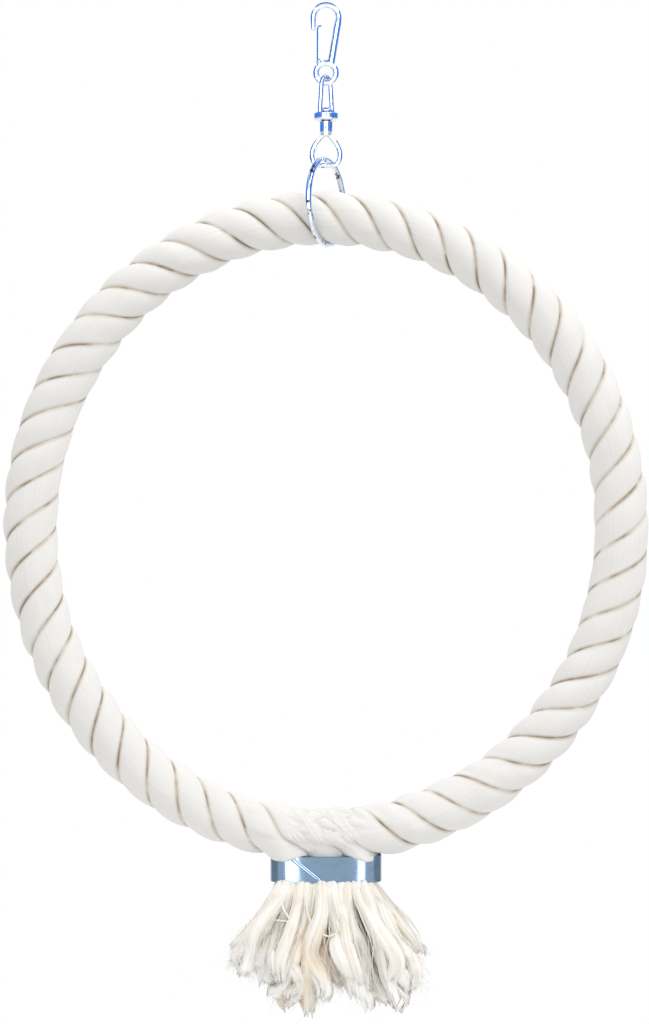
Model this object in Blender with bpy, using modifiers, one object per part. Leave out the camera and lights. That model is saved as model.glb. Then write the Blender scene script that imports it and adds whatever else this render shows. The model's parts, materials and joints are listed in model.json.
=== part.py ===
"""Rope ring swing for a cage bird.

A ring of three-strand cotton rope hangs on a welded steel ring, a swivel and a snap hook. The rope's
two ends meet at the bottom of the ring, turn down through a pinched steel band and fray into a tassel.

Lengths are in metres, +Z is up and the ring lies in the XZ plane, with its front towards -Y.
The origin is the hang point, at the top of the inside of the snap hook, where a cage bar lies.
"""
import math

import bmesh
import bpy
import numpy as np
from mathutils import Matrix, Vector

# Snap hook
HOOK_WIRE = 0.0028
HOOK_TIP_WIRE = 0.0021
HOOK_LEG_WIRE = 0.0034
HOOK_BEND_RADIUS = 0.0059
HOOK_NOSE_DROP = 0.0051
HOOK_LENGTH = 0.0302
HOOK_FOOT_ANGLE = math.radians(60)
HOOK_EYE_BORE = 0.0063
HOOK_EYE_WIRE = 0.0029
LUG_RADIUS = 0.0021
LUG_THICKNESS = 0.0032
LUG_OFFSET = 0.0032
LUG_RISE = 0.0048
GATE_LENGTH = 0.0172
GATE_WIDTH = 0.0024
GATE_SHEET = 0.0006
GATE_FOLD = 0.00045
GATE_TAIL = 0.0019
GATE_WEB_START = 0.0030
RIVET_DIAMETER = 0.0014
RIVET_HEAD = 0.0024
RIVET_HEAD_HEIGHT = 0.0006
SPRING_LEAF = 0.0003
SPRING_RISE = 0.0085
SPRING_WIDTH = 0.0022

# Swivel
YOKE_WIRE = 0.0022
YOKE_BEND_RADIUS = 0.0036
YOKE_HEIGHT = 0.0165
YOKE_FOOT_RADIUS = 0.00475
YOKE_YAW = math.radians(35)
COLLAR_HEIGHT = 0.0041
COLLAR_FILLET = 0.0009
PIN_DIAMETER = 0.0041
PIN_HEAD_DIAMETER = 0.0064
PIN_HEAD_HEIGHT = 0.0019
NECK_DIAMETER = 0.0060
NECK_LENGTH = 0.0058
SWIVEL_EYE_WIRE = 0.0024
SWIVEL_EYE_WIDTH = 0.0153
SWIVEL_EYE_DROP = 0.0146
# Corners of the bell-shaped eye from neck to bar, as shares of its half width and of its drop
SWIVEL_EYE_CORNERS = ((0.64, 0.76), (1.00, 0.40), (0.80, 0.06))

# Welded ring that the rope lies in
HANG_RING_DIAMETER = 0.0425
HANG_RING_WIRE = 0.0028
HANG_RING_YAW = math.radians(24)

# Rope ring
ROPE_DIAMETER = 0.0250
RING_HALF_WIDTH = 0.1375
RING_HALF_HEIGHT = 0.1435
LAY_TURNS = 17 + 1 / 3
STRANDS = 3
GROOVE_DEPTH = 0.0020
CORE_WIRE = 0.0035

# Pinched band and tassel
BAND_WIDTH = 0.0516
BAND_DEPTH = 0.0202
BAND_HEIGHT = 0.0122
BAND_SHEET = 0.0012
BAND_CORNER = 0.0092
BAND_DROP = 0.0088
# Share of the band's depth at which the edges of a strand's crown lie inside it
PRESSED_EDGE = 0.55
BAND_SEAM_OFFSET = -0.0089
BAND_SEAM_LEAN = math.radians(52)
BAND_SEAM_GAP = 0.0006
TASSEL_WIDTH = 0.0920
TASSEL_DEPTH = 0.0640
TASSEL_SPREAD_DROP = 0.0350
# Bend of the flare: 1 spreads evenly all the way down, more spreads later
TASSEL_FLARE = 1.2
TUFT_LENGTHS = {"front": (0.0460, 0.0620, 0.0540), "back": (0.0480, 0.0520, 0.0450)}
# A tuft rounds off over this length at its end, through this angle of an arc
TUFT_ROUND_LENGTH = 0.0185
TUFT_ROUND = math.radians(64)
# Width of the outer tufts' roots, whose slots narrow at the band's rounded ends
TUFT_ROOT_WIDTH = 0.0121
# Power of a tuft's rounded-square section: 1 is an ellipse, less is squarer
TUFT_SQUARENESS = 0.7

# Clearances between pieces
CLEARANCE = 0.0003
STRAND_GAP = 0.0007
TUFT_GAP = 0.0008
CHEEK_CLEARANCE = 0.0004
SEAT_CLEARANCE = 0.0006

# Facets
WIRE_RESOLUTION = 3
BEND_STEPS = 12
STRAIGHT_STEPS = 4
TURNED_STEPS = 24
EYE_STEPS = 36
RING_STEPS = 48
CURVE_STEPS = 4
CROWN_SHARES = (0.74, 0.38, 0, -0.38, -0.74)
SECTIONS_PER_TURN = 9
UNWIND_SECTIONS = 5
DROP_SECTIONS = 3
TUFT_SIDES = 12
TUFT_LEVELS = (0, 0.1, 0.25, 0.42, 0.6, 0.8, 0.93, 1)
TABLE_STEPS = 2880
SMOOTH_STEEL = math.radians(35)
SMOOTH_COTTON = math.radians(60)
RIM_ANGLE = math.radians(60)
WELD = 1e-6

# Finishes: colour, roughness and metallic value
ZINC_PLATE = ((0.62, 0.66, 0.70), 0.22, 1.0)
BAND_STEEL = ((0.50, 0.58, 0.67), 0.28, 1.0)
SPRING_STEEL = ((0.45, 0.46, 0.48), 0.35, 1.0)
CORE_STEEL = ((0.40, 0.40, 0.41), 0.45, 1.0)
COTTON = ((0.88, 0.86, 0.81), 0.95, 0.0)
FRAYED_COTTON = ((0.88, 0.83, 0.74), 0.95, 0.0)

# Places worked out from the sizes above
HOOK_BEND_Z = HOOK_WIRE / 2 - HOOK_BEND_RADIUS
HOOK_EYE_Z = -HOOK_LENGTH
HOOK_EYE_RADIUS = (HOOK_EYE_BORE + HOOK_EYE_WIRE) / 2
LUG = Vector((-LUG_OFFSET, 0, HOOK_EYE_Z + LUG_RISE))
YOKE_TOP_Z = HOOK_EYE_Z - HOOK_EYE_RADIUS + (HOOK_EYE_WIRE + YOKE_WIRE) / 2 + CLEARANCE
COLLAR_TOP_Z = YOKE_TOP_Z - YOKE_HEIGHT
COLLAR_BOTTOM_Z = COLLAR_TOP_Z - COLLAR_HEIGHT
NECK_TOP_Z = COLLAR_BOTTOM_Z - CLEARANCE
NECK_BOTTOM_Z = NECK_TOP_Z - NECK_LENGTH
EYE_BAR_Z = NECK_BOTTOM_Z - SWIVEL_EYE_DROP
HANG_RING_RADIUS = (HANG_RING_DIAMETER - HANG_RING_WIRE) / 2
HANG_RING_TOP_Z = EYE_BAR_Z + (SWIVEL_EYE_WIRE + HANG_RING_WIRE) / 2 + CLEARANCE
HANG_RING_Z = HANG_RING_TOP_Z - HANG_RING_RADIUS
ROPE_SEAT_Z = HANG_RING_Z - HANG_RING_RADIUS
ROPE_RADIUS = ROPE_DIAMETER / 2
RING_TOP_Z = ROPE_SEAT_Z + HANG_RING_WIRE / 2 + SEAT_CLEARANCE + ROPE_RADIUS - GROOVE_DEPTH
RING_Z = RING_TOP_Z - RING_HALF_HEIGHT
RING_BOTTOM_Z = RING_Z - RING_HALF_HEIGHT
BAND_TOP_Z = RING_BOTTOM_Z - BAND_DROP
BAND_BOTTOM_Z = BAND_TOP_Z - BAND_HEIGHT
SLOT_PITCH = (BAND_WIDTH - 2 * BAND_SHEET - 2 * CLEARANCE) / STRANDS
FRONT = 1.5 * math.pi


def clear_scene():
    for thing in list(bpy.data.objects):
        bpy.data.objects.remove(thing, do_unlink=True)


def new_collection(name):
    collection = bpy.data.collections.new(name)
    bpy.context.scene.collection.children.link(collection)
    return collection


def new_material(name, colour, roughness, metallic):
    material = bpy.data.materials.new(name)
    material.use_nodes = True
    shader = material.node_tree.nodes["Principled BSDF"]
    shader.inputs["Base Color"].default_value = (*colour, 1)
    shader.inputs["Roughness"].default_value = roughness
    shader.inputs["Metallic"].default_value = metallic
    return material


def new_object(name, mesh, collection, material=None):
    thing = bpy.data.objects.new(name, mesh)
    collection.objects.link(thing)
    if material:
        mesh.materials.append(material)
    return thing


def mesh_from(bm, name, smooth_angle=SMOOTH_STEEL):
    """Turn a bmesh into a mesh that faces outwards and is shaded smooth up to an angle."""
    bmesh.ops.recalc_face_normals(bm, faces=bm.faces)
    if bm.calc_volume(signed=True) < 0:
        bmesh.ops.reverse_faces(bm, faces=bm.faces)
    mesh = bpy.data.meshes.new(name)
    bm.to_mesh(mesh)
    bm.free()
    mesh.shade_smooth()
    mesh.set_sharp_from_angle(angle=smooth_angle)
    return mesh


def wire_mesh(name, points, diameters, cyclic=False):
    """A round wire along the points, with a diameter for each of them."""
    curve = bpy.data.curves.new(name, "CURVE")
    curve.dimensions = "3D"
    curve.bevel_depth = 1 / 2
    curve.bevel_resolution = WIRE_RESOLUTION
    curve.use_fill_caps = not cyclic
    spline = curve.splines.new("POLY")
    spline.points.add(len(points) - 1)
    spline.use_cyclic_u = cyclic
    for point, place, diameter in zip(spline.points, points, diameters):
        point.co = (*place, 1)
        point.radius = diameter
    carrier = bpy.data.objects.new(name, curve)
    bpy.context.scene.collection.objects.link(carrier)
    evaluated = carrier.evaluated_get(bpy.context.evaluated_depsgraph_get())
    bm = bmesh.new()
    raw = bpy.data.meshes.new_from_object(evaluated)
    bm.from_mesh(raw)
    bpy.data.objects.remove(carrier, do_unlink=True)
    bpy.data.meshes.remove(raw)
    bmesh.ops.remove_doubles(bm, verts=bm.verts, dist=WELD)
    return mesh_from(bm, name)


def turned_mesh(name, profile):
    """Spin a closed profile of (radius, height) points about the Z axis into a solid."""
    bm = bmesh.new()
    rim = [bm.verts.new((radius, 0, height)) for radius, height in profile]
    edges = [bm.edges.new(pair) for pair in zip(rim, rim[1:] + rim[:1])]
    bmesh.ops.spin(bm, geom=rim + edges, axis=(0, 0, 1), cent=(0, 0, 0), angle=2 * math.pi,
                   steps=TURNED_STEPS, use_merge=True)
    bmesh.ops.remove_doubles(bm, verts=bm.verts, dist=WELD)
    loose = [edge for edge in bm.edges if not edge.link_faces]
    bmesh.ops.delete(bm, geom=loose, context="EDGES")
    return mesh_from(bm, name)


def loft_mesh(name, sections, smooth_angle=SMOOTH_COTTON):
    """Skin closed sections of equally many points. The splits mirror about each section's first point."""
    bm = bmesh.new()
    rings = [[bm.verts.new(point) for point in section] for section in sections]
    count = len(sections[0])
    for lower, upper in zip(rings, rings[1:]):
        for index in range(count):
            after = (index + 1) % count
            a, b, c, d = lower[index], lower[after], upper[after], upper[index]
            splits = ((a, b, c), (a, c, d)) if index < count / 2 else ((a, b, d), (b, c, d))
            for corners in splits:
                bm.faces.new(corners)
    bm.faces.new(rings[0])
    bm.faces.new(rings[-1])
    return mesh_from(bm, name, smooth_angle)


def box_mesh(name, low, high):
    bm = bmesh.new()
    bmesh.ops.create_cube(bm, size=1)
    size = Vector(high) - Vector(low)
    middle = (Vector(high) + Vector(low)) / 2
    place = Matrix.Translation(middle) @ Matrix.Diagonal((*size, 1))
    bmesh.ops.transform(bm, matrix=place, verts=bm.verts)
    return mesh_from(bm, name)


def rod_mesh(name, diameter, length, turn=Matrix.Identity(4)):
    """A cylinder along Z about its own middle, then turned."""
    bm = bmesh.new()
    bmesh.ops.create_cone(bm, cap_ends=True, segments=TURNED_STEPS // 2, radius1=diameter / 2,
                          radius2=diameter / 2, depth=length)
    bmesh.ops.transform(bm, matrix=turn, verts=bm.verts)
    return mesh_from(bm, name)


def ring_mesh(name, radius, wire, steps):
    """A round wire ring about the Y axis."""
    points = []
    for index in range(steps):
        angle = 2 * math.pi * index / steps
        points.append((radius * math.cos(angle), 0, radius * math.sin(angle)))
    return wire_mesh(name, points, [wire] * steps, cyclic=True)


def smooth_loop(corners, steps):
    """A closed curve that passes smoothly through the corner points."""
    points = []
    count = len(corners)
    for index in range(count):
        before, start, end, after = (Vector(corners[(index + shift) % count]) for shift in (-1, 0, 1, 2))
        for step in range(steps):
            t = step / steps
            points.append(0.5 * (2 * start + (end - before) * t
                                 + (2 * before - 5 * start + 4 * end - after) * t * t
                                 + (3 * start - before - 3 * end + after) * t ** 3))
    return points


class Bench:
    """The collections, the joint pivots and the boolean helpers that the pieces share."""

    def __init__(self):
        self.parts = new_collection("rope_ring_bird_swing")
        self.tools = new_collection("swing_cutters")

    def pivot(self, name, place, parent=None):
        empty = bpy.data.objects.new(name, None)
        empty.empty_display_size = HOOK_WIRE
        self.parts.objects.link(empty)
        empty.parent = parent
        empty.location = Vector(place) - (parent.matrix_world.translation if parent else Vector())
        bpy.context.view_layer.update()
        return empty

    def part(self, name, mesh, pivot, material, turn=None):
        """Hang a mesh that is modelled about the world origin on a joint's pivot."""
        if turn:
            mesh.transform(turn)
        mesh.transform(Matrix.Translation(-pivot.matrix_world.translation))
        thing = new_object(name, mesh, self.parts, material)
        thing.parent = pivot
        return thing

    def combine(self, part, mesh, operation):
        """Join a helper mesh to a part, or cut it away. The mesh is modelled about the world origin."""
        helper = new_object(part.name + "_" + operation.lower(), mesh, self.tools)
        helper.hide_render = True
        helper.display_type = "WIRE"
        modifier = part.modifiers.new(helper.name, "BOOLEAN")
        modifier.operation = operation
        modifier.object = helper


def snap_hook_points():
    """Centre line of the hook from its nose over the bend and down the leg to the eye, with diameters."""
    points = []
    for step in range(STRAIGHT_STEPS):
        rise = HOOK_NOSE_DROP * (1 - step / STRAIGHT_STEPS)
        points.append(Vector((-HOOK_BEND_RADIUS, 0, HOOK_BEND_Z - rise)))
    for step in range(BEND_STEPS + 1):
        angle = math.pi * (1 - step / BEND_STEPS)
        across = HOOK_BEND_RADIUS * math.cos(angle)
        points.append(Vector((across, 0, HOOK_BEND_Z + HOOK_BEND_RADIUS * math.sin(angle))))
    foot = Vector((HOOK_EYE_RADIUS * math.cos(HOOK_FOOT_ANGLE), 0,
                   HOOK_EYE_Z + HOOK_EYE_RADIUS * math.sin(HOOK_FOOT_ANGLE)))
    start = points[-1]
    for step in range(1, STRAIGHT_STEPS + 1):
        points.append(start.lerp(foot, step / STRAIGHT_STEPS))
    crown = STRAIGHT_STEPS + BEND_STEPS // 2
    stations = (0, STRAIGHT_STEPS, crown, STRAIGHT_STEPS + BEND_STEPS)
    thickness = (HOOK_TIP_WIRE, HOOK_WIRE, HOOK_WIRE, HOOK_LEG_WIRE)
    return points, np.interp(range(len(points)), stations, thickness)


def add_snap_hook(bench, hook_pivot, gate_pivot, steel, spring_steel):
    body = bench.part("snap_body", wire_mesh("snap_body", *snap_hook_points()), hook_pivot, steel)
    eye = ring_mesh("hook_eye", HOOK_EYE_RADIUS, HOOK_EYE_WIRE, EYE_STEPS)
    eye.transform(Matrix.Translation((0, 0, HOOK_EYE_Z)))
    bench.combine(body, eye, "UNION")
    across = Matrix.Translation(LUG) @ Matrix.Rotation(math.radians(90), 4, "X")
    bench.combine(body, rod_mesh("lug", 2 * LUG_RADIUS, LUG_THICKNESS, across), "UNION")
    bore = RIVET_DIAMETER + 2 * CLEARANCE
    bench.combine(body, rod_mesh("lug_bore", bore, 2 * LUG_THICKNESS, across), "DIFFERENCE")

    channel = LUG_THICKNESS / 2 + CHEEK_CLEARANCE
    half = GATE_WIDTH / 2
    outer = channel + GATE_SHEET
    low = LUG + Vector((-half, -outer, -GATE_TAIL))
    high = LUG + Vector((half, outer, GATE_LENGTH))
    gate = bench.part("snap_gate", box_mesh("snap_gate", low, high), gate_pivot, steel)
    rounding = gate.modifiers.new("rounding", "BEVEL")
    rounding.width = GATE_FOLD
    rounding.segments = 2
    hollow_low = (low.x + GATE_SHEET, -channel, low.z - GATE_SHEET)
    hollow_high = (high.x + GATE_SHEET, channel, high.z - GATE_SHEET)
    bench.combine(gate, box_mesh("gate_hollow", hollow_low, hollow_high), "DIFFERENCE")
    lip = channel - GATE_FOLD / 2
    foot_low = (low.x - GATE_SHEET, -lip, low.z - 2 * GATE_SHEET)
    foot_high = (high.x + 2 * GATE_SHEET, lip, LUG.z + GATE_WEB_START)
    bench.combine(gate, box_mesh("gate_foot", foot_low, foot_high), "DIFFERENCE")
    bench.combine(gate, rod_mesh("gate_bore", bore, 4 * outer, across), "DIFFERENCE")

    shank = outer + CLEARANCE
    top = shank + RIVET_HEAD_HEIGHT
    profile = [(0, top), (RIVET_HEAD / 4, top), (RIVET_HEAD / 2, shank), (RIVET_DIAMETER / 2, shank),
               (RIVET_DIAMETER / 2, -shank), (RIVET_HEAD / 2, -shank), (RIVET_HEAD / 4, -top), (0, -top)]
    bench.part("gate_rivet", turned_mesh("gate_rivet", profile), hook_pivot, steel, across)

    web_face = LUG.x - half + GATE_SHEET + CLEARANCE
    foot_z = LUG.z + LUG_RADIUS + CLEARANCE
    edge = SPRING_WIDTH / 2
    leaf = []
    for step in range(CURVE_STEPS + 1):
        share = step / CURVE_STEPS
        lean = LUG.x + (web_face - LUG.x) * math.sin(share * math.pi / 2)
        rise = foot_z + SPRING_RISE * share
        leaf.append([(lean, -edge, rise), (lean, edge, rise),
                     (lean + SPRING_LEAF, edge, rise), (lean + SPRING_LEAF, -edge, rise)])
    bench.part("gate_spring", loft_mesh("gate_spring", leaf, SMOOTH_STEEL), gate_pivot, spring_steel)


def add_swivel(bench, yoke_pivot, swivel_pivot, steel):
    across = Matrix.Rotation(math.pi / 2 - YOKE_YAW, 4, "Z")
    bend_z = YOKE_TOP_Z - YOKE_BEND_RADIUS
    foot_z = COLLAR_TOP_Z - COLLAR_HEIGHT / 2
    bow = [(-YOKE_FOOT_RADIUS, 0, foot_z), (-YOKE_FOOT_RADIUS, 0, COLLAR_TOP_Z + PIN_HEAD_HEIGHT)]
    for step in range(BEND_STEPS + 1):
        angle = math.pi * (1 - step / BEND_STEPS)
        bow.append((YOKE_BEND_RADIUS * math.cos(angle), 0, bend_z + YOKE_BEND_RADIUS * math.sin(angle)))
    bow += [(-x, y, z) for x, y, z in reversed(bow[:2])]
    bow_mesh = wire_mesh("swivel_yoke", bow, [YOKE_WIRE] * len(bow))
    yoke = bench.part("swivel_yoke", bow_mesh, yoke_pivot, steel, across)
    bore = PIN_DIAMETER / 2 + CLEARANCE
    outer = YOKE_FOOT_RADIUS + YOKE_WIRE / 2
    collar = [(outer - COLLAR_FILLET, COLLAR_TOP_Z), (outer, COLLAR_TOP_Z - COLLAR_FILLET),
              (outer, COLLAR_BOTTOM_Z + COLLAR_FILLET), (outer - COLLAR_FILLET, COLLAR_BOTTOM_Z),
              (bore, COLLAR_BOTTOM_Z), (bore, COLLAR_TOP_Z)]
    bench.combine(yoke, turned_mesh("collar", collar), "UNION")

    head_low = COLLAR_TOP_Z + CLEARANCE
    head_high = head_low + PIN_HEAD_HEIGHT
    head = PIN_HEAD_DIAMETER / 2
    neck = NECK_DIAMETER / 2
    pin = PIN_DIAMETER / 2
    profile = [(0, head_high), (head / 2, head_high), (head, head_low + CLEARANCE), (head, head_low),
               (pin, head_low), (pin, NECK_TOP_Z), (neck, NECK_TOP_Z), (neck, NECK_BOTTOM_Z + pin / 2),
               (pin, NECK_BOTTOM_Z - pin / 2), (0, NECK_BOTTOM_Z - pin / 2)]
    swivel = bench.part("swivel_eye", turned_mesh("swivel_eye", profile), swivel_pivot, steel)
    half = (SWIVEL_EYE_WIDTH - SWIVEL_EYE_WIRE) / 2
    right = [(across * half, 0, EYE_BAR_Z + rise * SWIVEL_EYE_DROP) for across, rise in SWIVEL_EYE_CORNERS]
    left = [(-x, y, z) for x, y, z in reversed(right)]
    line = smooth_loop([(0, 0, NECK_BOTTOM_Z), *right, (0, 0, EYE_BAR_Z), *left], CURVE_STEPS)
    loop = wire_mesh("eye_loop", line, [SWIVEL_EYE_WIRE] * len(line), cyclic=True)
    bench.combine(swivel, loop, "UNION")


def add_hang_ring(bench, pivot, steel):
    mesh = ring_mesh("hang_ring", HANG_RING_RADIUS, HANG_RING_WIRE, RING_STEPS)
    turn = Matrix.Translation((0, 0, HANG_RING_Z)) @ Matrix.Rotation(math.pi / 2 - HANG_RING_YAW, 4, "Z")
    bench.part("hang_ring", mesh, pivot, steel, turn)


class RopePath:
    """The ring's centre line by length, from the bottom round by the left, with the lay of the strands."""

    def __init__(self):
        turn = np.linspace(0, 2 * math.pi, TABLE_STEPS + 1)
        x = -RING_HALF_WIDTH * np.sin(turn)
        z = RING_Z - RING_HALF_HEIGHT * np.cos(turn)
        steps = np.hypot(np.diff(x), np.diff(z))
        self.turn = turn
        self.travel = np.concatenate([[0], np.cumsum(steps)])
        self.length = float(self.travel[-1])
        self.pitch = self.length / LAY_TURNS

    def frame(self, along):
        """Centre point and outward direction of the ring at a length along it."""
        turn = float(np.interp(along % self.length, self.travel, self.turn))
        sine, cosine = math.sin(turn), math.cos(turn)
        centre = Vector((-RING_HALF_WIDTH * sine, 0, RING_Z - RING_HALF_HEIGHT * cosine))
        outward = Vector((-RING_HALF_HEIGHT * sine, 0, -RING_HALF_WIDTH * cosine)).normalized()
        return centre, outward

    def point(self, along, angle, radius):
        """A point beside the centre line, at an angle from outward towards the back."""
        centre, outward = self.frame(along)
        return centre + radius * (math.cos(angle) * outward + math.sin(angle) * Vector((0, 1, 0)))


def strand_outline():
    """Points of one strand's third of the rope, as (share of the half third, radius), core point first."""
    sector = math.pi / STRANDS
    edge_radius = ROPE_RADIUS - GROOVE_DEPTH
    edge = 1 - math.asin(STRAND_GAP / 2 / edge_radius) / sector
    outline = [(0, CORE_WIRE / 2 + 2 * CLEARANCE), (edge, edge_radius)]
    for share in CROWN_SHARES:
        outline.append((share, ROPE_RADIUS - GROOVE_DEPTH * abs(share) ** 3))
    outline.append((-edge, edge_radius))
    return outline


def band_half_depth(x, inset):
    """Half the band's inside depth at a place across it, less an inset."""
    flat = BAND_WIDTH / 2 - BAND_CORNER
    half = BAND_DEPTH / 2 - BAND_SHEET - inset
    corner = BAND_CORNER - BAND_SHEET - inset
    over = max(0, abs(x) - flat)
    return half - corner + math.sqrt(max(0, corner * corner - over * over))


def slot_points(outline, column, side, z):
    """One strand's outline as pressed into its place in the band. Side is -1 in front and 1 behind."""
    points = []
    half = SLOT_PITCH / 2 - STRAND_GAP / 2
    for index, (share, radius) in enumerate(outline):
        x = column * SLOT_PITCH + side * share * half
        depth = band_half_depth(x, CLEARANCE) * (radius / ROPE_RADIUS) ** 2
        if index in (1, len(outline) - 1):
            depth = band_half_depth(x, CLEARANCE) * PRESSED_EDGE
        if index == 0:
            depth = STRAND_GAP / 2
        points.append(Vector((x, side * depth, z)))
    return points


def drop_sections(path, outline, start, column, side):
    """Sections from where a strand leaves the lay down into its place in the band."""
    end = slot_points(outline, column, side, BAND_TOP_Z)
    reach = BAND_DROP / 2
    sections = []
    for step in range(1, DROP_SECTIONS + 1):
        t = step / DROP_SECTIONS
        section = []
        for (_, radius), first, last in zip(outline, start, end):
            slope = 2 * math.pi * radius / path.pitch
            leave = first + reach * Vector((-side, 0, -slope)).normalized()
            arrive = last + reach * Vector((0, 0, 1))
            section.append((1 - t) ** 3 * first + 3 * t * (1 - t) ** 2 * leave
                           + 3 * t * t * (1 - t) * arrive + t ** 3 * last)
        sections.append(section)
    sections.append(slot_points(outline, column, side, BAND_BOTTOM_Z))
    return sections


def strand_sections(path, outline, first_column):
    """All sections of one strand, from its front end in the band round the ring to its back end."""
    pitch = path.pitch
    sector = math.pi / STRANDS
    start = pitch / 4 - first_column * pitch / STRANDS
    last_column = (first_column + 2) % STRANDS - 1
    stop = path.length - pitch / 4 - last_column * pitch / STRANDS
    unwind = pitch / 2

    def section(along, shear):
        points = []
        for share, radius in outline:
            offset = share * sector
            angle = FRONT - 2 * math.pi * (along - start) / pitch + (1 - shear) * offset
            points.append(path.point(along + shear * offset * pitch / (2 * math.pi), angle, radius))
        return points

    sections = []
    for step in range(UNWIND_SECTIONS):
        share = step / UNWIND_SECTIONS
        sections.append(section(start + unwind * share, 1 - share))
    plain = round((stop - start - 2 * unwind) / pitch * SECTIONS_PER_TURN)
    for step in range(plain + 1):
        sections.append(section(start + unwind + (stop - start - 2 * unwind) * step / plain, 0))
    for step in range(1, UNWIND_SECTIONS + 1):
        share = step / UNWIND_SECTIONS
        sections.append(section(stop - unwind * (1 - share), share))
    front = drop_sections(path, outline, sections[0], first_column, -1)
    back = drop_sections(path, outline, sections[-1], last_column, 1)
    return front[::-1] + sections + back


def add_rope(bench, pivot, cotton, wire):
    path = RopePath()
    outline = strand_outline()
    for number, column in enumerate((-1, 0, 1), 1):
        name = f"rope_strand_{number}"
        bench.part(name, loft_mesh(name, strand_sections(path, outline, column)), pivot, cotton)
    hoop = [path.frame(path.length * step / RING_STEPS)[0] for step in range(RING_STEPS)]
    mesh = wire_mesh("core_hoop", hoop, [CORE_WIRE] * RING_STEPS, cyclic=True)
    bench.part("core_hoop", mesh, pivot, wire)


def add_band(bench, pivot, steel):
    bm = bmesh.new()
    loop = []
    flat = BAND_WIDTH / 2 - BAND_CORNER
    deep = BAND_DEPTH / 2 - BAND_CORNER
    quarter = BEND_STEPS // 2
    for corner, (across, along) in enumerate(((1, 1), (-1, 1), (-1, -1), (1, -1))):
        for step in range(quarter + 1):
            angle = math.pi / 2 * (corner + step / quarter)
            loop.append(bm.verts.new((across * flat + BAND_CORNER * math.cos(angle),
                                      along * deep + BAND_CORNER * math.sin(angle), BAND_BOTTOM_Z)))
    edges = [bm.edges.new(pair) for pair in zip(loop, loop[1:] + loop[:1])]
    raised = bmesh.ops.extrude_edge_only(bm, edges=edges)["geom"]
    upper = [item for item in raised if isinstance(item, bmesh.types.BMVert)]
    bmesh.ops.translate(bm, vec=(0, 0, BAND_HEIGHT), verts=upper)
    band = bench.part("clamp_band", mesh_from(bm, "clamp_band"), pivot, steel)
    wall = band.modifiers.new("sheet", "SOLIDIFY")
    wall.thickness = BAND_SHEET
    wall.offset = -1
    wall.use_even_offset = True
    rims = band.modifiers.new("rims", "BEVEL")
    rims.width = BAND_SHEET / 4
    rims.limit_method = "ANGLE"
    rims.angle_limit = RIM_ANGLE
    reach = 2 * BAND_HEIGHT
    seam = box_mesh("seam", (-BAND_SEAM_GAP / 2, -BAND_DEPTH, -reach), (BAND_SEAM_GAP / 2, 0, reach))
    middle = (BAND_SEAM_OFFSET, 0, (BAND_TOP_Z + BAND_BOTTOM_Z) / 2)
    seam.transform(Matrix.Translation(middle) @ Matrix.Rotation(-BAND_SEAM_LEAN, 4, "Y"))
    bench.combine(band, seam, "DIFFERENCE")


def tuft_sections(column, side, length):
    """Sections of one frayed strand end, which swells and spreads from the band and rounds off below."""
    sections = []
    band_depth = BAND_DEPTH / 2 - BAND_SHEET - CLEARANCE
    for level in TUFT_LEVELS:
        drop = CLEARANCE + level * (length - CLEARANCE)
        spread = min(1, drop / TASSEL_SPREAD_DROP) ** TASSEL_FLARE
        cell = SLOT_PITCH + (TASSEL_WIDTH / STRANDS - SLOT_PITCH) * spread
        depth = band_depth + (TASSEL_DEPTH / 2 - band_depth) * spread
        below = max(0, 1 - (length - drop) / TUFT_ROUND_LENGTH)
        size = math.cos(TUFT_ROUND * below)
        if column:
            root = TUFT_ROOT_WIDTH / SLOT_PITCH
            size *= root + (1 - root) * spread
        half_width = (cell - TUFT_GAP) / 2
        half_depth = (depth - TUFT_GAP / 2) / 2
        middle = Vector((column * cell, side * (TUFT_GAP / 2 + half_depth), BAND_BOTTOM_Z - drop))
        section = []
        for corner in range(TUFT_SIDES):
            angle = 2 * math.pi * corner / TUFT_SIDES
            across = math.copysign(abs(math.cos(angle)) ** TUFT_SQUARENESS, math.cos(angle))
            deep = math.copysign(abs(math.sin(angle)) ** TUFT_SQUARENESS, math.sin(angle))
            section.append(middle + size * Vector((half_width * across, half_depth * deep, 0)))
        sections.append(section)
    return sections


def add_tassel(bench, pivot, cotton):
    for row, side in (("front", -1), ("back", 1)):
        for column, place in ((-1, "left"), (0, "middle"), (1, "right")):
            name = f"tassel_{row}_{place}"
            sections = tuft_sections(column, side, TUFT_LENGTHS[row][column + 1])
            bench.part(name, loft_mesh(name, sections), pivot, cotton)


def main():
    clear_scene()
    bench = Bench()
    zinc = new_material("zinc_plate", *ZINC_PLATE)
    band_steel = new_material("band_steel", *BAND_STEEL)
    spring_steel = new_material("spring_steel", *SPRING_STEEL)
    core_steel = new_material("core_steel", *CORE_STEEL)
    cotton = new_material("cotton", *COTTON)
    frayed_cotton = new_material("frayed_cotton", *FRAYED_COTTON)

    hook = bench.pivot("hang_point", (0, 0, 0))
    gate = bench.pivot("gate_hinge", LUG, hook)
    yoke = bench.pivot("yoke_swing", (0, 0, HOOK_EYE_Z), hook)
    swivel = bench.pivot("swivel_turn", (0, 0, COLLAR_BOTTOM_Z), yoke)
    ring = bench.pivot("ring_swing", (0, 0, EYE_BAR_Z), swivel)
    rope = bench.pivot("rope_swing", (0, 0, ROPE_SEAT_Z), ring)

    add_snap_hook(bench, hook, gate, zinc, spring_steel)
    add_swivel(bench, yoke, swivel, zinc)
    add_hang_ring(bench, ring, zinc)
    add_rope(bench, rope, cotton, core_steel)
    add_band(bench, rope, band_steel)
    add_tassel(bench, rope, frayed_cotton)


main()
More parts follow.
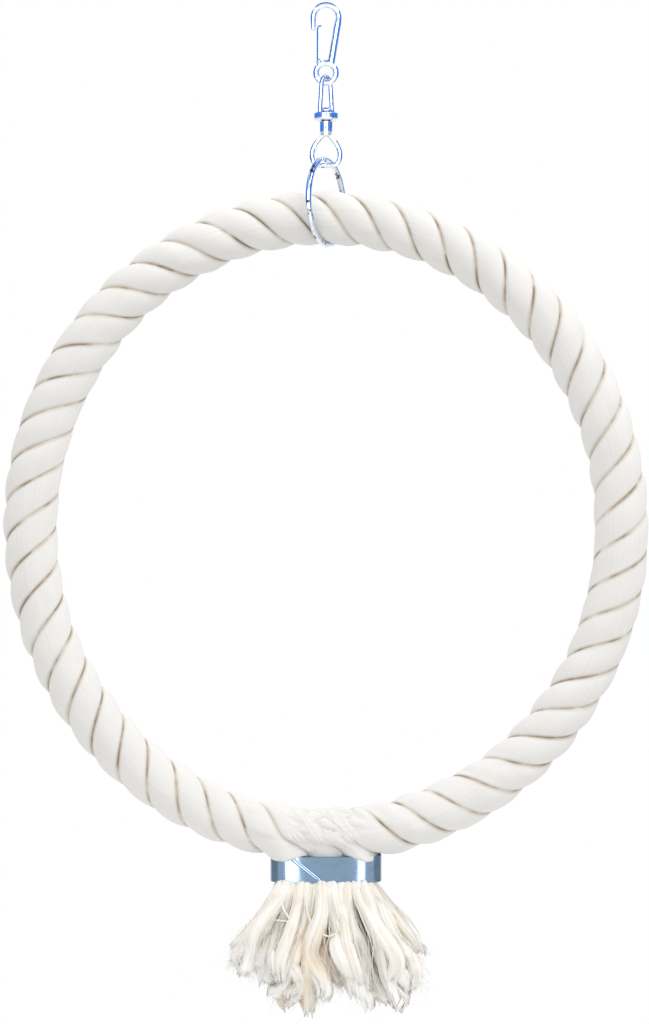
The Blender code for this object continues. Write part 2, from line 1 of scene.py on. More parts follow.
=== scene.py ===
"""Looks of a rope ring swing for a cage bird, modelled and lit as a Blender add-on.

The packed solids give every place and joint. Each operator makes one group of pieces over them: the laid
cotton strands, the frayed tassel, the pinched band and the zinc plated hook, swivel and ring.
Lengths are in metres, +Z is up and the front of the ring looks towards -Y.
"""
import json
import math

import bmesh
import bpy
import numpy as np
from bpy.props import FloatProperty, FloatVectorProperty, IntProperty, PointerProperty
from mathutils import Matrix, Vector


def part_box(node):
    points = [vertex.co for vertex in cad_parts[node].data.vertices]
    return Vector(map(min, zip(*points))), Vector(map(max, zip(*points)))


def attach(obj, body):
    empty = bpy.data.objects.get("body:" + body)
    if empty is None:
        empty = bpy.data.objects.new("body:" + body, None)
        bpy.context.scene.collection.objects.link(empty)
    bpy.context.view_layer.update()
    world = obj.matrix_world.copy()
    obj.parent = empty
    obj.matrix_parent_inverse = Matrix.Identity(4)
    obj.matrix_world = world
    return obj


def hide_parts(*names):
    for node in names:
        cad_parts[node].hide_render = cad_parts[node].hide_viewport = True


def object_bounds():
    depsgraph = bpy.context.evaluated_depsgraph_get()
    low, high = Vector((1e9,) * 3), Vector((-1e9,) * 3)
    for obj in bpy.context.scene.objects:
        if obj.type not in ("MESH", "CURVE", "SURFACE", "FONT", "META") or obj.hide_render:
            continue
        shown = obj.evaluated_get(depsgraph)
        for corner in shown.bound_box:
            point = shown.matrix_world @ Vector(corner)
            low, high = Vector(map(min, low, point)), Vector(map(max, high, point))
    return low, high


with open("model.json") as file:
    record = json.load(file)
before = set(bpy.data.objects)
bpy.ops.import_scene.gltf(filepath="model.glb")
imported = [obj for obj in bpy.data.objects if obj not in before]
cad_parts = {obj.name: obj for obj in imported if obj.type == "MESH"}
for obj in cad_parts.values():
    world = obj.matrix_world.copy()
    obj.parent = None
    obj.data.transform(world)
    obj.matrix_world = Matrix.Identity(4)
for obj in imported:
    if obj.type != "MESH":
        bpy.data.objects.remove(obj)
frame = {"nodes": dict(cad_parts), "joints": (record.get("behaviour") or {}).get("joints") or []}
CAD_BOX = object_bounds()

bl_info = {
    "name": "Rope ring swing",
    "version": (1, 0, 0),
    "blender": (4, 5, 0),
    "location": "View3D > Sidebar > Swing",
    "description": "Makes the finished look of a rope ring swing over its packed solids",
    "category": "Object",
}

# The photograph's frame, and the scale and place at which the swing stands in it
PHOTO_WIDTH = 649
PHOTO_HEIGHT = 1024
METRES_PER_PIXEL = 0.000465
AXIS_PIXEL = 326.0
HANG_POINT_PIXEL = 8.0

# Places that the packed model gives
JOINT = {joint["name"]: Vector(joint["pos_m"]) for joint in frame["joints"]}
HOOP_LOW, HOOP_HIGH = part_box("core_hoop")
BAND_LOW, BAND_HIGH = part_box("clamp_band")
BAND_HALF_WIDTH = (BAND_HIGH.x - BAND_LOW.x) / 2
BAND_HALF_DEPTH = (BAND_HIGH.y - BAND_LOW.y) / 2
RING_LOW, RING_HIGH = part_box("hang_ring")

STRANDS = 3
UP = np.array((0.0, 0.0, 1.0))
# Points that lie closer than this are merged
WELD = 1e-7


class RopeLook(bpy.types.PropertyGroup):
    """Sizes and colours of the laid rope."""

    diameter: FloatProperty(name="Diameter", description="Over the crowns of the strands",
                            default=0.0250, unit="LENGTH")
    core_wire: FloatProperty(name="Core wire", description="Thickness of the hoop in the core",
                             default=0.0035, unit="LENGTH")
    turns: FloatProperty(name="Turns of lay", description="Turns that a strand makes round the ring",
                         default=52 / 3)
    groove: FloatProperty(name="Groove", description="Depth of the groove between two strands",
                          default=0.0020, unit="LENGTH")
    yarns: IntProperty(name="Yarns", description="Yarns that show round the rope", default=30)
    relief: FloatProperty(name="Yarn relief", description="How far a proud yarn stands out of its strand",
                          default=0.00014, unit="LENGTH")
    lump: FloatProperty(name="Lumps", description="Slow rise and fall along the strands",
                        default=0.00055, unit="LENGTH")
    crease: FloatProperty(name="Creases", description="Depth of the creases where the ends are married",
                          default=0.0014, unit="LENGTH")
    rumple: FloatProperty(name="Rumples", description="Height of the small folds that some places show",
                          default=0.0006, unit="LENGTH")
    join_width: FloatProperty(name="Join", description="Half the width of the creased join",
                              default=0.0250, unit="LENGTH")
    bulge: FloatProperty(name="Bulge", description="How far the first strand bulges beside the band",
                         default=0.0095, unit="LENGTH")
    hang: FloatProperty(name="Overhang", description="How far the strands hang over the band's upper edge",
                        default=0.0044, unit="LENGTH")
    cotton: FloatVectorProperty(name="Cotton", description="Colour of clean cotton", subtype="COLOR",
                                default=(0.838, 0.825, 0.797))
    # Colour of duller yarns, which also paints shade in the valleys between yarns
    shade: FloatVectorProperty(name="Dull cotton", description="Colour of duller yarns", subtype="COLOR",
                               default=(0.725, 0.692, 0.632))
    # Painted shade: the colour that the grooves between the strands take on
    dust: FloatVectorProperty(name="Groove dust", description="Colour deep in the grooves", subtype="COLOR",
                              default=(0.665, 0.595, 0.50))
    # Painted shade, darker, in spots at the bottom of the grooves
    deep_shadow: FloatVectorProperty(name="Deep shadow", description="Colour of dark spots at the bottom of the grooves",
                               subtype="COLOR", default=(0.38, 0.31, 0.24))


class TasselLook(bpy.types.PropertyGroup):
    """Sizes and colours of the frayed rope ends."""

    lock: FloatProperty(name="Lock", description="Thickness of a lock of yarns where it is fullest",
                        default=0.0070, unit="LENGTH")
    lock_root: FloatProperty(name="Lock root", description="Thickness of a lock of yarns at the band",
                             default=0.0044, unit="LENGTH")
    threads: IntProperty(name="Threads", description="Thin yarns on each lock of a tuft", default=28)
    thread: FloatProperty(name="Thread", description="Thickness of a thin yarn",
                          default=0.00042, unit="LENGTH")
    wisps: IntProperty(name="Wisps", description="Thin fibres in each tuft", default=1000)
    wisp: FloatProperty(name="Wisp", description="Thickness of a thin fibre",
                        default=0.00026, unit="LENGTH")
    width: FloatProperty(name="Width", description="Across the widest place",
                         default=0.0940, unit="LENGTH")
    depth: FloatProperty(name="Depth", description="From front to back at the widest place",
                         default=0.0640, unit="LENGTH")
    flare: FloatProperty(name="Flare", description="Drop over which the yarns spread",
                         default=0.0350, unit="LENGTH")
    puff: FloatProperty(name="Puff", description="How far the locks swell out under the band",
                        default=0.0050, unit="LENGTH")
    puff_drop: FloatProperty(name="Puff drop", description="Drop at which the locks swell most",
                             default=0.0030, unit="LENGTH")
    crimp: FloatProperty(name="Crimp", description="How far a lock waves from side to side",
                         default=0.0026, unit="LENGTH")
    matting: FloatProperty(name="Matting", description="How far the thin yarns cross to the next lock",
                           default=0.6, subtype="FACTOR")
    stray: FloatProperty(name="Stray", description="How far a yarn leaves its lock",
                         default=0.0034, unit="LENGTH")
    seed: IntProperty(name="Seed", description="Seed of the places of the yarns", default=11)
    cotton: FloatVectorProperty(name="Cotton", description="Colour of the outer yarns", subtype="COLOR",
                                default=(0.985, 0.958, 0.895))
    tip: FloatVectorProperty(name="Tips", description="Colour of the bleached tips", subtype="COLOR",
                             default=(0.980, 0.972, 0.950))
    # Painted shade: the tan that deep places between the yarns and inside the tassel take on
    inner: FloatVectorProperty(name="Inner", description="Colour between the yarns", subtype="COLOR",
                               default=(0.880, 0.690, 0.450))


class SteelLook(bpy.types.PropertyGroup):
    """Sizes and colours of the hook, the swivel, the ring and the band."""

    hook_wire: FloatProperty(name="Hook wire", description="Thickness of the hook's bend",
                             default=0.0028, unit="LENGTH")
    hook_tip: FloatProperty(name="Hook nose", description="Thickness of the nose's tip",
                            default=0.0021, unit="LENGTH")
    hook_leg: FloatProperty(name="Hook leg", description="Thickness of the hook's leg",
                            default=0.0034, unit="LENGTH")
    hook_foot: FloatProperty(name="Hook foot", description="Where the leg meets the eye, from the right",
                             default=math.radians(60), subtype="ANGLE")
    hook_bend: FloatProperty(name="Hook bend", description="Radius of the bend's centre line",
                             default=0.0059, unit="LENGTH")
    nose: FloatProperty(name="Nose", description="Drop of the nose", default=0.0051, unit="LENGTH")
    eye_wire: FloatProperty(name="Hook eye wire", description="Thickness of the fixed eye",
                            default=0.0029, unit="LENGTH")
    eye_bore: FloatProperty(name="Hook eye bore", description="Opening of the fixed eye",
                            default=0.0063, unit="LENGTH")
    lug: FloatProperty(name="Lug", description="Diameter of the gate's lug", default=0.0042, unit="LENGTH")
    lug_thickness: FloatProperty(name="Lug thickness", description="Thickness of the gate's lug",
                                 default=0.0032, unit="LENGTH")
    gate_sheet: FloatProperty(name="Gate sheet", description="Thickness of the gate's sheet",
                              default=0.0006, unit="LENGTH")
    gate_fold: FloatProperty(name="Gate fold", description="Radius of the folded gate's outer edges",
                             default=0.0014, unit="LENGTH")
    gate_web: FloatProperty(name="Gate web", description="Rise over the rivet where the gate's web starts",
                            default=0.0030, unit="LENGTH")
    yoke_wire: FloatProperty(name="Yoke wire", description="Thickness of the bow's wire",
                             default=0.0022, unit="LENGTH")
    yoke_bend: FloatProperty(name="Yoke bend", description="Radius of the bow's centre line",
                             default=0.0036, unit="LENGTH")
    yoke_foot: FloatProperty(name="Yoke foot", description="Half the span of the bow at the collar",
                             default=0.00475, unit="LENGTH")
    yoke_yaw: FloatProperty(name="Yoke turn", description="Turn of the bow from square across the hook",
                            default=math.radians(35), subtype="ANGLE")
    collar_height: FloatProperty(name="Collar", description="Height of the collar at the bow's foot",
                                 default=0.0041, unit="LENGTH")
    pin: FloatProperty(name="Pin", description="Diameter of the swivel's pin", default=0.0041, unit="LENGTH")
    pin_head: FloatProperty(name="Pin head", description="Diameter of the peened head",
                            default=0.0064, unit="LENGTH")
    pin_head_height: FloatProperty(name="Pin head height", description="Height of the peened head",
                                   default=0.0019, unit="LENGTH")
    neck: FloatProperty(name="Neck", description="Diameter of the neck under the collar",
                        default=0.0060, unit="LENGTH")
    neck_length: FloatProperty(name="Neck length", description="Length of the neck under the collar",
                               default=0.0058, unit="LENGTH")
    bell_wire: FloatProperty(name="Bell eye wire", description="Thickness of the bell-shaped eye's wire",
                             default=0.0024, unit="LENGTH")
    bell_width: FloatProperty(name="Bell eye width", description="Width over the bell-shaped eye's wire",
                              default=0.0153, unit="LENGTH")
    ring_wire: FloatProperty(name="Ring wire", description="Thickness of the welded ring's wire",
                             default=0.0028, unit="LENGTH")
    ring_yaw: FloatProperty(name="Ring turn", default=math.radians(24), subtype="ANGLE",
                            description="Turn of the welded ring from square across the rope")
    clearance: FloatProperty(name="Clearance", description="Gap between pieces that fit in each other",
                             default=0.0003, unit="LENGTH")
    band_sheet: FloatProperty(name="Band sheet", description="Thickness of the band's sheet",
                              default=0.0012, unit="LENGTH")
    band_corner: FloatProperty(name="Band corner", description="Radius of the band's corners",
                               default=0.0092, unit="LENGTH")
    seam_offset: FloatProperty(name="Seam place", description="Place of the seam across the band",
                               default=-0.0089, unit="LENGTH")
    seam_lean: FloatProperty(name="Seam lean", description="Lean of the band's seam",
                             default=math.radians(52), subtype="ANGLE")
    lap_round: FloatProperty(name="Lap rounding", description="Radius of the ridge along the band's seam",
                             default=0.0020, unit="LENGTH")
    lap_rise: FloatProperty(name="Lap rise", description="Height of the ridge along the band's seam",
                            default=0.00028, unit="LENGTH")
    zinc: FloatVectorProperty(name="Zinc", description="Colour of the bright plating", subtype="COLOR",
                              default=(0.84, 0.89, 0.94))
    dull_zinc: FloatVectorProperty(name="Dull zinc", description="Colour of dull spots", subtype="COLOR",
                                   default=(0.60, 0.66, 0.74))
    # Painted reflection: dark blots that stand for a dark, warm surround seen in the steel
    dark_reflection: FloatVectorProperty(name="Dark reflection", description="Colour of dark blots of painted reflection",
                               subtype="COLOR", default=(0.10, 0.06, 0.04))
    # Plating colours that also carry a painted reflection: darker and bluer, for the blue-grey surround that
    # the band reflects in front
    band: FloatVectorProperty(name="Band", description="Colour of the band's plating", subtype="COLOR",
                              default=(0.230, 0.324, 0.450))
    dull_band: FloatVectorProperty(name="Dull band", description="Colour of the band's dull spots",
                                   subtype="COLOR", default=(0.16, 0.235, 0.335))
    spring: FloatVectorProperty(name="Spring", description="Colour of the gate's spring", subtype="COLOR",
                                default=(0.45, 0.46, 0.48))
    dull_spring: FloatVectorProperty(name="Dull spring", description="Colour of the spring's dull spots",
                                     subtype="COLOR", default=(0.30, 0.31, 0.33))
    core: FloatVectorProperty(name="Core", description="Colour of the hoop in the rope", subtype="COLOR",
                              default=(0.40, 0.40, 0.41))
    dull_core: FloatVectorProperty(name="Dull core", description="Colour of the hoop's dull spots",
                                   subtype="COLOR", default=(0.30, 0.30, 0.31))


class StageLook(bpy.types.PropertyGroup):
    """Camera, lamps, cards and floor."""

    lens: FloatProperty(name="Lens", description="Focal length in millimetres", default=85.0)
    sensor: FloatProperty(name="Sensor", description="Long side of the sensor in millimetres", default=36.0)
    ambient: FloatProperty(name="Ambient", description="Light from all round", default=0.83)
    overhead: FloatProperty(name="Overhead", description="How much more of it comes from above",
                            default=0.24)
    key: FloatProperty(name="Key lamp", description="Power of the lamp above", default=6.5, unit="POWER")
    left: FloatProperty(name="Left lamp", description="Power of the upright lamp at the left",
                        default=7.6, unit="POWER")
    right: FloatProperty(name="Right lamp", description="Power of the upright lamp at the right",
                         default=4.4, unit="POWER")
    floor_drop: FloatProperty(name="Floor drop", description="From the tassel down to the floor",
                              default=0.15, unit="LENGTH")
    floor_radius: FloatProperty(name="Floor radius", description="Radius at which the floor fades out",
                                default=0.62, unit="LENGTH")
    blue_card: FloatVectorProperty(name="Blue cards", description="Colour beside the hook", subtype="COLOR",
                                   default=(0.03, 0.20, 0.72))
    grey_card: FloatVectorProperty(name="Grey cards", description="Colour beside the band", subtype="COLOR",
                                   default=(0.50, 0.52, 0.52))
    top_card: FloatVectorProperty(name="Top card", description="Colour above the swing", subtype="COLOR",
                                  default=(0.02, 0.14, 0.55))
    floor: FloatVectorProperty(name="Floor", description="Colour of the floor", subtype="COLOR",
                               default=(0.90, 0.90, 0.90))


class Value:
    """A shader socket that takes part in sums as a number does."""

    def __init__(self, board, socket):
        self.board = board
        self.socket = socket

    def out(self, name):
        """Another output of the same node."""
        return Value(self.board, self.socket.node.outputs[name])

    def maths(self, operation, first, second):
        return self.board.node("ShaderNodeMath", {"operation": operation}, {0: first, 1: second})

    def __add__(self, other):
        return self.maths("ADD", self, other)

    __radd__ = __add__

    def __sub__(self, other):
        return self.maths("SUBTRACT", self, other)

    def __rsub__(self, other):
        return self.maths("SUBTRACT", other, self)

    def __mul__(self, other):
        return self.maths("MULTIPLY", self, other)

    __rmul__ = __mul__

    def __pow__(self, other):
        return self.maths("POWER", self, other)

    def __abs__(self):
        return self.maths("ABSOLUTE", self, 0)


class Board:
    """One node tree, with a method that adds any node to it and short forms for the usual ones."""

    def __init__(self, tree):
        self.tree = tree

    def node(self, kind, settings=None, sockets=None, output=0):
        """Add a node with its settings and the values or links of its sockets, and give one output."""
        made = self.tree.nodes.new(kind)
        for name, value in (settings or {}).items():
            if name == "stops":
                self.set_stops(made.color_ramp, value)
            else:
                setattr(made, name, value)
        for name, value in (sockets or {}).items():
            self.feed(made.inputs[name], value)
        return Value(self, made.outputs[output])

    def feed(self, socket, value):
        if isinstance(value, Value):
            self.tree.links.new(value.socket, socket)
        else:
            socket.default_value = value

    def set_stops(self, ramp, stops):
        while len(ramp.elements) < len(stops):
            ramp.elements.new(1)
        for element, (place, level) in zip(ramp.elements, stops):
            element.position = place
            element.color = (level, level, level, 1)

    def place(self):
        """Where a point lies in its piece's own space."""
        return self.node("ShaderNodeTexCoord", None, None, "Object")

    def mark(self, name):
        """A number that is kept on the points of the mesh."""
        return self.node("ShaderNodeAttribute", {"attribute_name": name}, None, "Fac")

    def noise(self, place, scale, detail=3):
        """A cloudy number from 0 to 1."""
        sockets = {"Vector": place, "Scale": scale, "Detail": detail}
        return self.node("ShaderNodeTexNoise", None, sockets, "Fac")

    def ramp(self, value, *stops):
        """A number that runs from stop to stop, each of which is a place and a level."""
        return self.node("ShaderNodeValToRGB", {"stops": stops}, {"Fac": value})

    def mix(self, share, first, second):
        """A colour between two others."""
        sockets = {"Factor": share, 6: first, 7: second}
        return self.node("ShaderNodeMix", {"data_type": "RGBA"}, sockets, 2)

    def bump(self, height, strength, distance):
        """The direction of a surface with small heights on it."""
        sockets = {"Strength": strength, "Distance": distance, "Height": height}
        return self.node("ShaderNodeBump", None, sockets, "Normal")


def ink(colour):
    return (*colour, 1)


def new_finish(name, **constants):
    """A material with its Principled shader, whose constants are set on its own sockets."""
    material = bpy.data.materials.new(name)
    material.use_nodes = True
    shader = material.node_tree.nodes["Principled BSDF"]
    for socket, value in constants.items():
        shader.inputs[socket.replace("_", " ")].default_value = value
    return material, Board(material.node_tree), shader


def laid_cotton(look):
    """Pressed cotton strands: soft yarns along the rope, duller here and there, with painted shade between
    the yarns and in the grooves, darkest in spots at the groove bottoms.
    """
    material, board, shader = new_finish("laid_cotton", Specular_IOR_Level=0.2, Sheen_Weight=0.1)
    yarn = board.mark("yarn")
    across = board.mark("across")
    groove = board.mark("groove")
    place = board.place()
    number = board.node("ShaderNodeMath", {"operation": "FLOOR"}, {0: yarn})
    tone = board.node("ShaderNodeTexWhiteNoise", {"noise_dimensions": "1D"}, {"W": number}, "Value")
    valley = abs((yarn - number) * 2 - 1) ** 6 * tone
    cloud = board.noise(place, scale=60)
    grain = board.node("ShaderNodeCombineXYZ", None, {"X": yarn * 5, "Y": across * 2 + yarn * 0.7})
    fibre = board.noise(grain, scale=1, detail=4)
    # Duller yarns by random tone and cloud, plus painted shade in the valleys between yarns
    dull = valley * 0.30 + tone * 0.10 + cloud * 0.35 + fibre * 0.20 - 0.30
    colour = board.mix(dull, ink(look.cotton), ink(look.shade))
    # Painted shade in the grooves, in patches
    patchy = board.ramp(board.noise(place, scale=90), (0.30, 0.25), (0.62, 1))
    colour = board.mix(groove ** 2 * patchy, colour, ink(look.dust))
    # Darker painted shade in spots at the bottom of the grooves
    spots = board.ramp(board.noise(place, scale=75), (0.44, 0.05), (0.62, 1))
    board.feed(shader.inputs["Base Color"], board.mix(groove ** 9 * spots, colour, ink(look.deep_shadow)))
    board.feed(shader.inputs["Roughness"], fibre * 0.12 + 0.84)
    height = fibre * 0.5 - valley * 0.8
    board.feed(shader.inputs["Normal"], board.bump(height, strength=0.3, distance=0.0003))
    return material


def frayed_cotton(look):
    """Untwisted yarns: creamy outside, with painted tan shade between the yarns and inside the tassel, and
    bleached at the tips.
    """
    material, board, shader = new_finish("frayed_cotton", Specular_IOR_Level=0.1, Roughness=0.9,
                                         Sheen_Weight=0.5)
    along = board.mark("along")
    deep = board.mark("deep")
    tone = board.mark("tone")
    lay = board.node("ShaderNodeSeparateXYZ", None, {0: board.node("ShaderNodeTexCoord", None, None, "UV")})
    sockets = {"X": lay.out("X") * 3, "Y": lay.out("Y") * board.mark("fibres"), "Z": tone * 90}
    fibre = board.noise(board.node("ShaderNodeCombineXYZ", None, sockets), scale=1, detail=4)
    cloud = board.noise(board.place(), scale=140)
    outer = board.mix(along ** 3, ink(look.cotton), ink(look.tip))
    # Painted tan shade where the yarns lie deep, with random cloudy and fibrous tone
    dull = (deep * 1.20 + cloud * 1.20 + tone * 0.20 + fibre * 0.60 - 1.13) * (1 - along ** 2 * 0.7)
    board.feed(shader.inputs["Base Color"], board.mix(dull, outer, ink(look.inner)))
    board.feed(shader.inputs["Normal"], board.bump(fibre, strength=0.5, distance=0.0004))
    return material


# How fine marks of handling are stretched: up and down, along the band, or not at all
UPRIGHT_MARKS = (1, 1, 0.1)
BAND_MARKS = (0.04, 1, 1)
EVEN_MARKS = (1, 1, 1)


def plated_steel(name, bright, dull, roughness, marks, dark_reflection=None):
    """Bright plating with cloudy duller spots, faint marks of handling and, where told, blots of painted
    dark reflection.
    """
    material, board, shader = new_finish(name, Metallic=1)
    place = board.place()
    stretched = board.node("ShaderNodeMapping", None, {"Vector": place, "Scale": marks})
    cloud = board.noise(place, scale=260)
    scuff = board.noise(stretched, scale=900, detail=5)
    spots = board.ramp(cloud, (0.42, 0), (0.72, 1))
    colour = board.mix(spots * 0.5, ink(bright), ink(dull))
    if dark_reflection:
        # Painted reflection of a dark surround, in random blots
        reflection_blot = board.ramp(board.noise(place, scale=420), (0.60, 0), (0.66, 1))
        colour = board.mix(reflection_blot, colour, ink(dark_reflection))
    board.feed(shader.inputs["Base Color"], colour)
    board.feed(shader.inputs["Roughness"], cloud * 0.14 + scuff * 0.10 + roughness - 0.12)
    board.feed(shader.inputs["Normal"], board.bump(scuff, strength=0.08, distance=0.0001))
    return material


def zinc_plating(steel, reflecting=False):
    """The plating of the hook or, with blots of painted dark reflection, of the swivel and the ring, which
    is made once.
    """
    name = "reflecting_plating" if reflecting else "zinc_plating"
    made = bpy.data.materials.get(name)
    if made:
        return made
    dark_reflection = steel.dark_reflection if reflecting else None
    return plated_steel(name, steel.zinc, steel.dull_zinc, 0.15, UPRIGHT_MARKS, dark_reflection)


def floor_finish(look):
    """A pale floor that fades into the white behind it."""
    material, board, shader = new_finish("pale_floor", Roughness=0.9)
    distance = board.node("ShaderNodeVectorMath", {"operation": "LENGTH"}, {0: board.place()}, "Value")
    fade = board.ramp(distance * (1 / look.floor_radius), (0.35, 1), (1.0, 0))
    shader.inputs["Base Color"].default_value = ink(look.floor)
    board.feed(shader.inputs["Alpha"], fade)
    return material


def add_piece(name, mesh, body, slot, finish, *nodes, sharp=180):
    """Link a finished mesh, shade it smooth and let it ride on a body in place of its packed nodes."""
    mesh.materials.append(finish)
    mesh.shade_smooth()
    mesh.set_sharp_from_angle(angle=math.radians(sharp))
    piece = bpy.data.objects.new(name, mesh)
    bpy.context.scene.collection.objects.link(piece)
    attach(piece, body)
    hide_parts(*nodes)
    return piece


def dress_node(node, finish):
    """Give a packed node that stays in sight its finish."""
    piece = frame["nodes"][node]
    piece.data.materials.clear()
    piece.data.materials.append(finish)


def unit(vectors):
    """Vectors along the last axis, each made one long."""
    return vectors / np.linalg.norm(vectors, axis=-1, keepdims=True)


def ramped(values, low, high):
    """How far values have come from low to high, from 0 to 1, also where high is the lesser."""
    return np.clip((values - low) / (high - low), 0, 1)


def as_mesh(name, bm):
    mesh = bpy.data.meshes.new(name)
    bm.to_mesh(mesh)
    bm.free()
    return mesh


def of_kind(kind, geom):
    return [item for item in geom if isinstance(item, kind)]


def close_ends(bm):
    """Fill every open rim."""
    bmesh.ops.holes_fill(bm, edges=[edge for edge in bm.edges if edge.is_boundary], sides=0)


def loose_object(name, bm):
    """An object in the scene that rides on no body."""
    thing = bpy.data.objects.new(name, as_mesh(name, bm))
    bpy.context.scene.collection.objects.link(thing)
    return thing


def finished_mesh(name, bm, modifiers):
    """The mesh that a bmesh becomes under its modifiers, each given as a type and its settings."""
    carrier = loose_object(name + "_carrier", bm)
    for kind, settings in modifiers:
        modifier = carrier.modifiers.new(kind.lower(), kind)
        for setting, value in settings.items():
            setattr(modifier, setting, value)
    evaluated = carrier.evaluated_get(bpy.context.evaluated_depsgraph_get())
    mesh = bpy.data.meshes.new_from_object(evaluated)
    bpy.data.objects.remove(carrier, do_unlink=True)
    return mesh


def tubes_mesh(name, rings, marks):
    """Skin tubes from (tube, row, side, xyz) points, with one number for each point in every mark."""
    tubes, rows, sides = rings.shape[:3]
    bm = bmesh.new()
    bm.loops.layers.uv.new("lay")
    bmesh.ops.create_grid(bm, x_segments=rows - 1, y_segments=sides, size=0.5, calc_uvs=True)
    sheet = bpy.data.meshes.new(name + "_sheet")
    bm.to_mesh(sheet)
    for _ in range(tubes - 1):
        bm.from_mesh(sheet)
    mesh = as_mesh(name, bm)
    bpy.data.meshes.remove(sheet)

    def in_grid_order(points):
        closed = np.concatenate([points, points[:, :, :1]], axis=2)
        return np.ascontiguousarray(closed.swapaxes(1, 2), dtype=np.float32).ravel()

    mesh.vertices.foreach_set("co", in_grid_order(rings))
    for mark, values in marks.items():
        spread = np.broadcast_to(values, rings.shape[:3])
        mesh.attributes.new(mark, "FLOAT", "POINT").data.foreach_set("value", in_grid_order(spread))
    bm = bmesh.new()
    bm.from_mesh(mesh)
    bmesh.ops.remove_doubles(bm, verts=bm.verts, dist=WELD)
    close_ends(bm)
    bmesh.ops.recalc_face_normals(bm, faces=bm.faces)
    bm.to_mesh(mesh)
    bm.free()
    return mesh


def round_rings(lines, radii, sides, aside=(1.0, 0.0, 0.0)):
    """Round sections along (tube, row, xyz) centre lines that nowhere run along the aside direction."""
    along = unit(np.gradient(lines, axis=1))
    across = unit(np.cross(along, np.array(aside)))
    third = np.cross(along, across)
    angle = np.linspace(0, 2 * math.pi, sides, endpoint=False)[:, None]
    spokes = np.cos(angle) * across[:, :, None] + np.sin(angle) * third[:, :, None]
    return lines[:, :, None] + radii.reshape(*radii.shape[:2], -1, 1) * spokes


def smooth_spans(corners, steps):
    """A smooth curve through all the corners but the first and the last, which only steer it."""
    points = []
    for before, start, end, after in zip(corners, corners[1:], corners[2:], corners[3:]):
        bend = 2 * before - 5 * start + 4 * end - after
        twist = 3 * start - before - 3 * end + after
        for step in range(steps):
            t = step / steps
            points.append(0.5 * (2 * start + (end - before) * t + bend * t * t + twist * t ** 3))
    return points


def smooth_line(corners, steps):
    """An open curve that passes smoothly through the corner points."""
    ends = [2 * corners[0] - corners[1], *corners, 2 * corners[-1] - corners[-2]]
    return np.array([list(point) for point in smooth_spans(ends, steps) + [corners[-1]]])


def smooth_loop(corners, steps):
    """A closed curve that passes smoothly through the corner points, with no point given twice."""
    points = smooth_spans([corners[-1], *corners, *corners[:2]], steps)
    return np.array([list(point) for point in points])


class Waves:
    """A smooth uneven height, as the mean of waves in random directions.

    Their paces lie between low and high, in radians for each metre.
    """

    def __init__(self, rng, count, low, high):
        heading = unit(rng.normal(size=(count, 3)))
        self.heading = heading * rng.uniform(low, high, (count, 1))
        self.phase = rng.uniform(0, 2 * math.pi, count)

    def at(self, place):
        return np.sin(place @ self.heading.T + self.phase).mean(axis=-1)


class Join:
    """The crumpled place over the band, where the rope's two ends are married."""

    SEED = 5
    # How far it fills the grooves
    FILL = 0.8
    # How fast it sets in from its edges
    EDGE_GAIN = 2.2
    # Folds, which lie where their waves cross zero, and the height of the waves at a fold's edge
    FOLDS = 3
    FOLD_WIDTH = 0.28
    # Filling of the grooves in patches all round: its mean, the gain of its waves and its most
    PATCH_MEAN = 0.1
    PATCH_GAIN = 1.5
    PATCH_MOST = 0.75

    def __init__(self, look, below):
        rng = np.random.default_rng(self.SEED)
        self.look, self.below = look, below
        self.hills = Waves(rng, count=6, low=260, high=620)
        self.folds = [Waves(rng, count=4, low=240, high=640) for _ in range(self.FOLDS)]
        self.patches = Waves(rng, count=4, low=40, high=130)

    def share(self, place):
        """How much places belong to the join, which lies below a height, from 0 to 1."""
        across = np.abs(place[..., 0]) / self.look.join_width
        return np.clip(self.EDGE_GAIN * (1 - across), 0, 1) * (place[..., 2] < self.below)

    def closed(self, place):
        """How far the grooves are filled, at the join and in patches elsewhere."""
        patched = np.clip(self.PATCH_MEAN + self.PATCH_GAIN * self.patches.at(place), 0, self.PATCH_MOST)
        return np.maximum(patched, self.FILL * self.share(place))

    def crease(self, place):
        """How deep places lie in a fold, up to 1."""
        deepest = np.zeros(place.shape[:-1])
        for fold in self.folds:
            deepest = np.maximum(deepest, ramped(np.abs(fold.at(place)), self.FOLD_WIDTH, 0) ** 2)
        return deepest * self.share(place)

    def height(self, place):
        """How far places stand out of the plain rope."""
        return self.look.crease * (self.share(place) * self.hills.at(place) - self.crease(place))


class RopeLay:
    """The ring's centre line by length, from the bottom round by the left, and the places beside it."""

    TABLE_STEPS = 2880

    def __init__(self, look):
        self.middle = (HOOP_LOW + HOOP_HIGH) / 2
        self.half_width = (HOOP_HIGH.x - HOOP_LOW.x - look.core_wire) / 2
        self.half_height = (HOOP_HIGH.z - HOOP_LOW.z - look.core_wire) / 2
        self.turn = np.linspace(0, 2 * math.pi, self.TABLE_STEPS + 1)
        x = self.half_width * np.sin(self.turn)
        z = self.half_height * np.cos(self.turn)
        self.travel = np.concatenate([[0], np.cumsum(np.hypot(np.diff(x), np.diff(z)))])
        self.length = self.travel[-1]
        self.pitch = self.length / look.turns

    def places(self, along, angle, radius):
        """Points beside the centre line, at an angle from outward towards the back."""
        turn = np.interp(along % self.length, self.travel, self.turn)
        sine, cosine = np.sin(turn), np.cos(turn)
        centre_x = self.middle.x - self.half_width * sine
        centre_z = self.middle.z - self.half_height * cosine
        run = np.hypot(self.half_width * cosine, self.half_height * sine)
        out_x = -self.half_height * sine / run
        out_z = -self.half_width * cosine / run
        side = radius * np.cos(angle)
        return np.stack([centre_x + side * out_x, radius * np.sin(angle), centre_z + side * out_z], axis=-1)


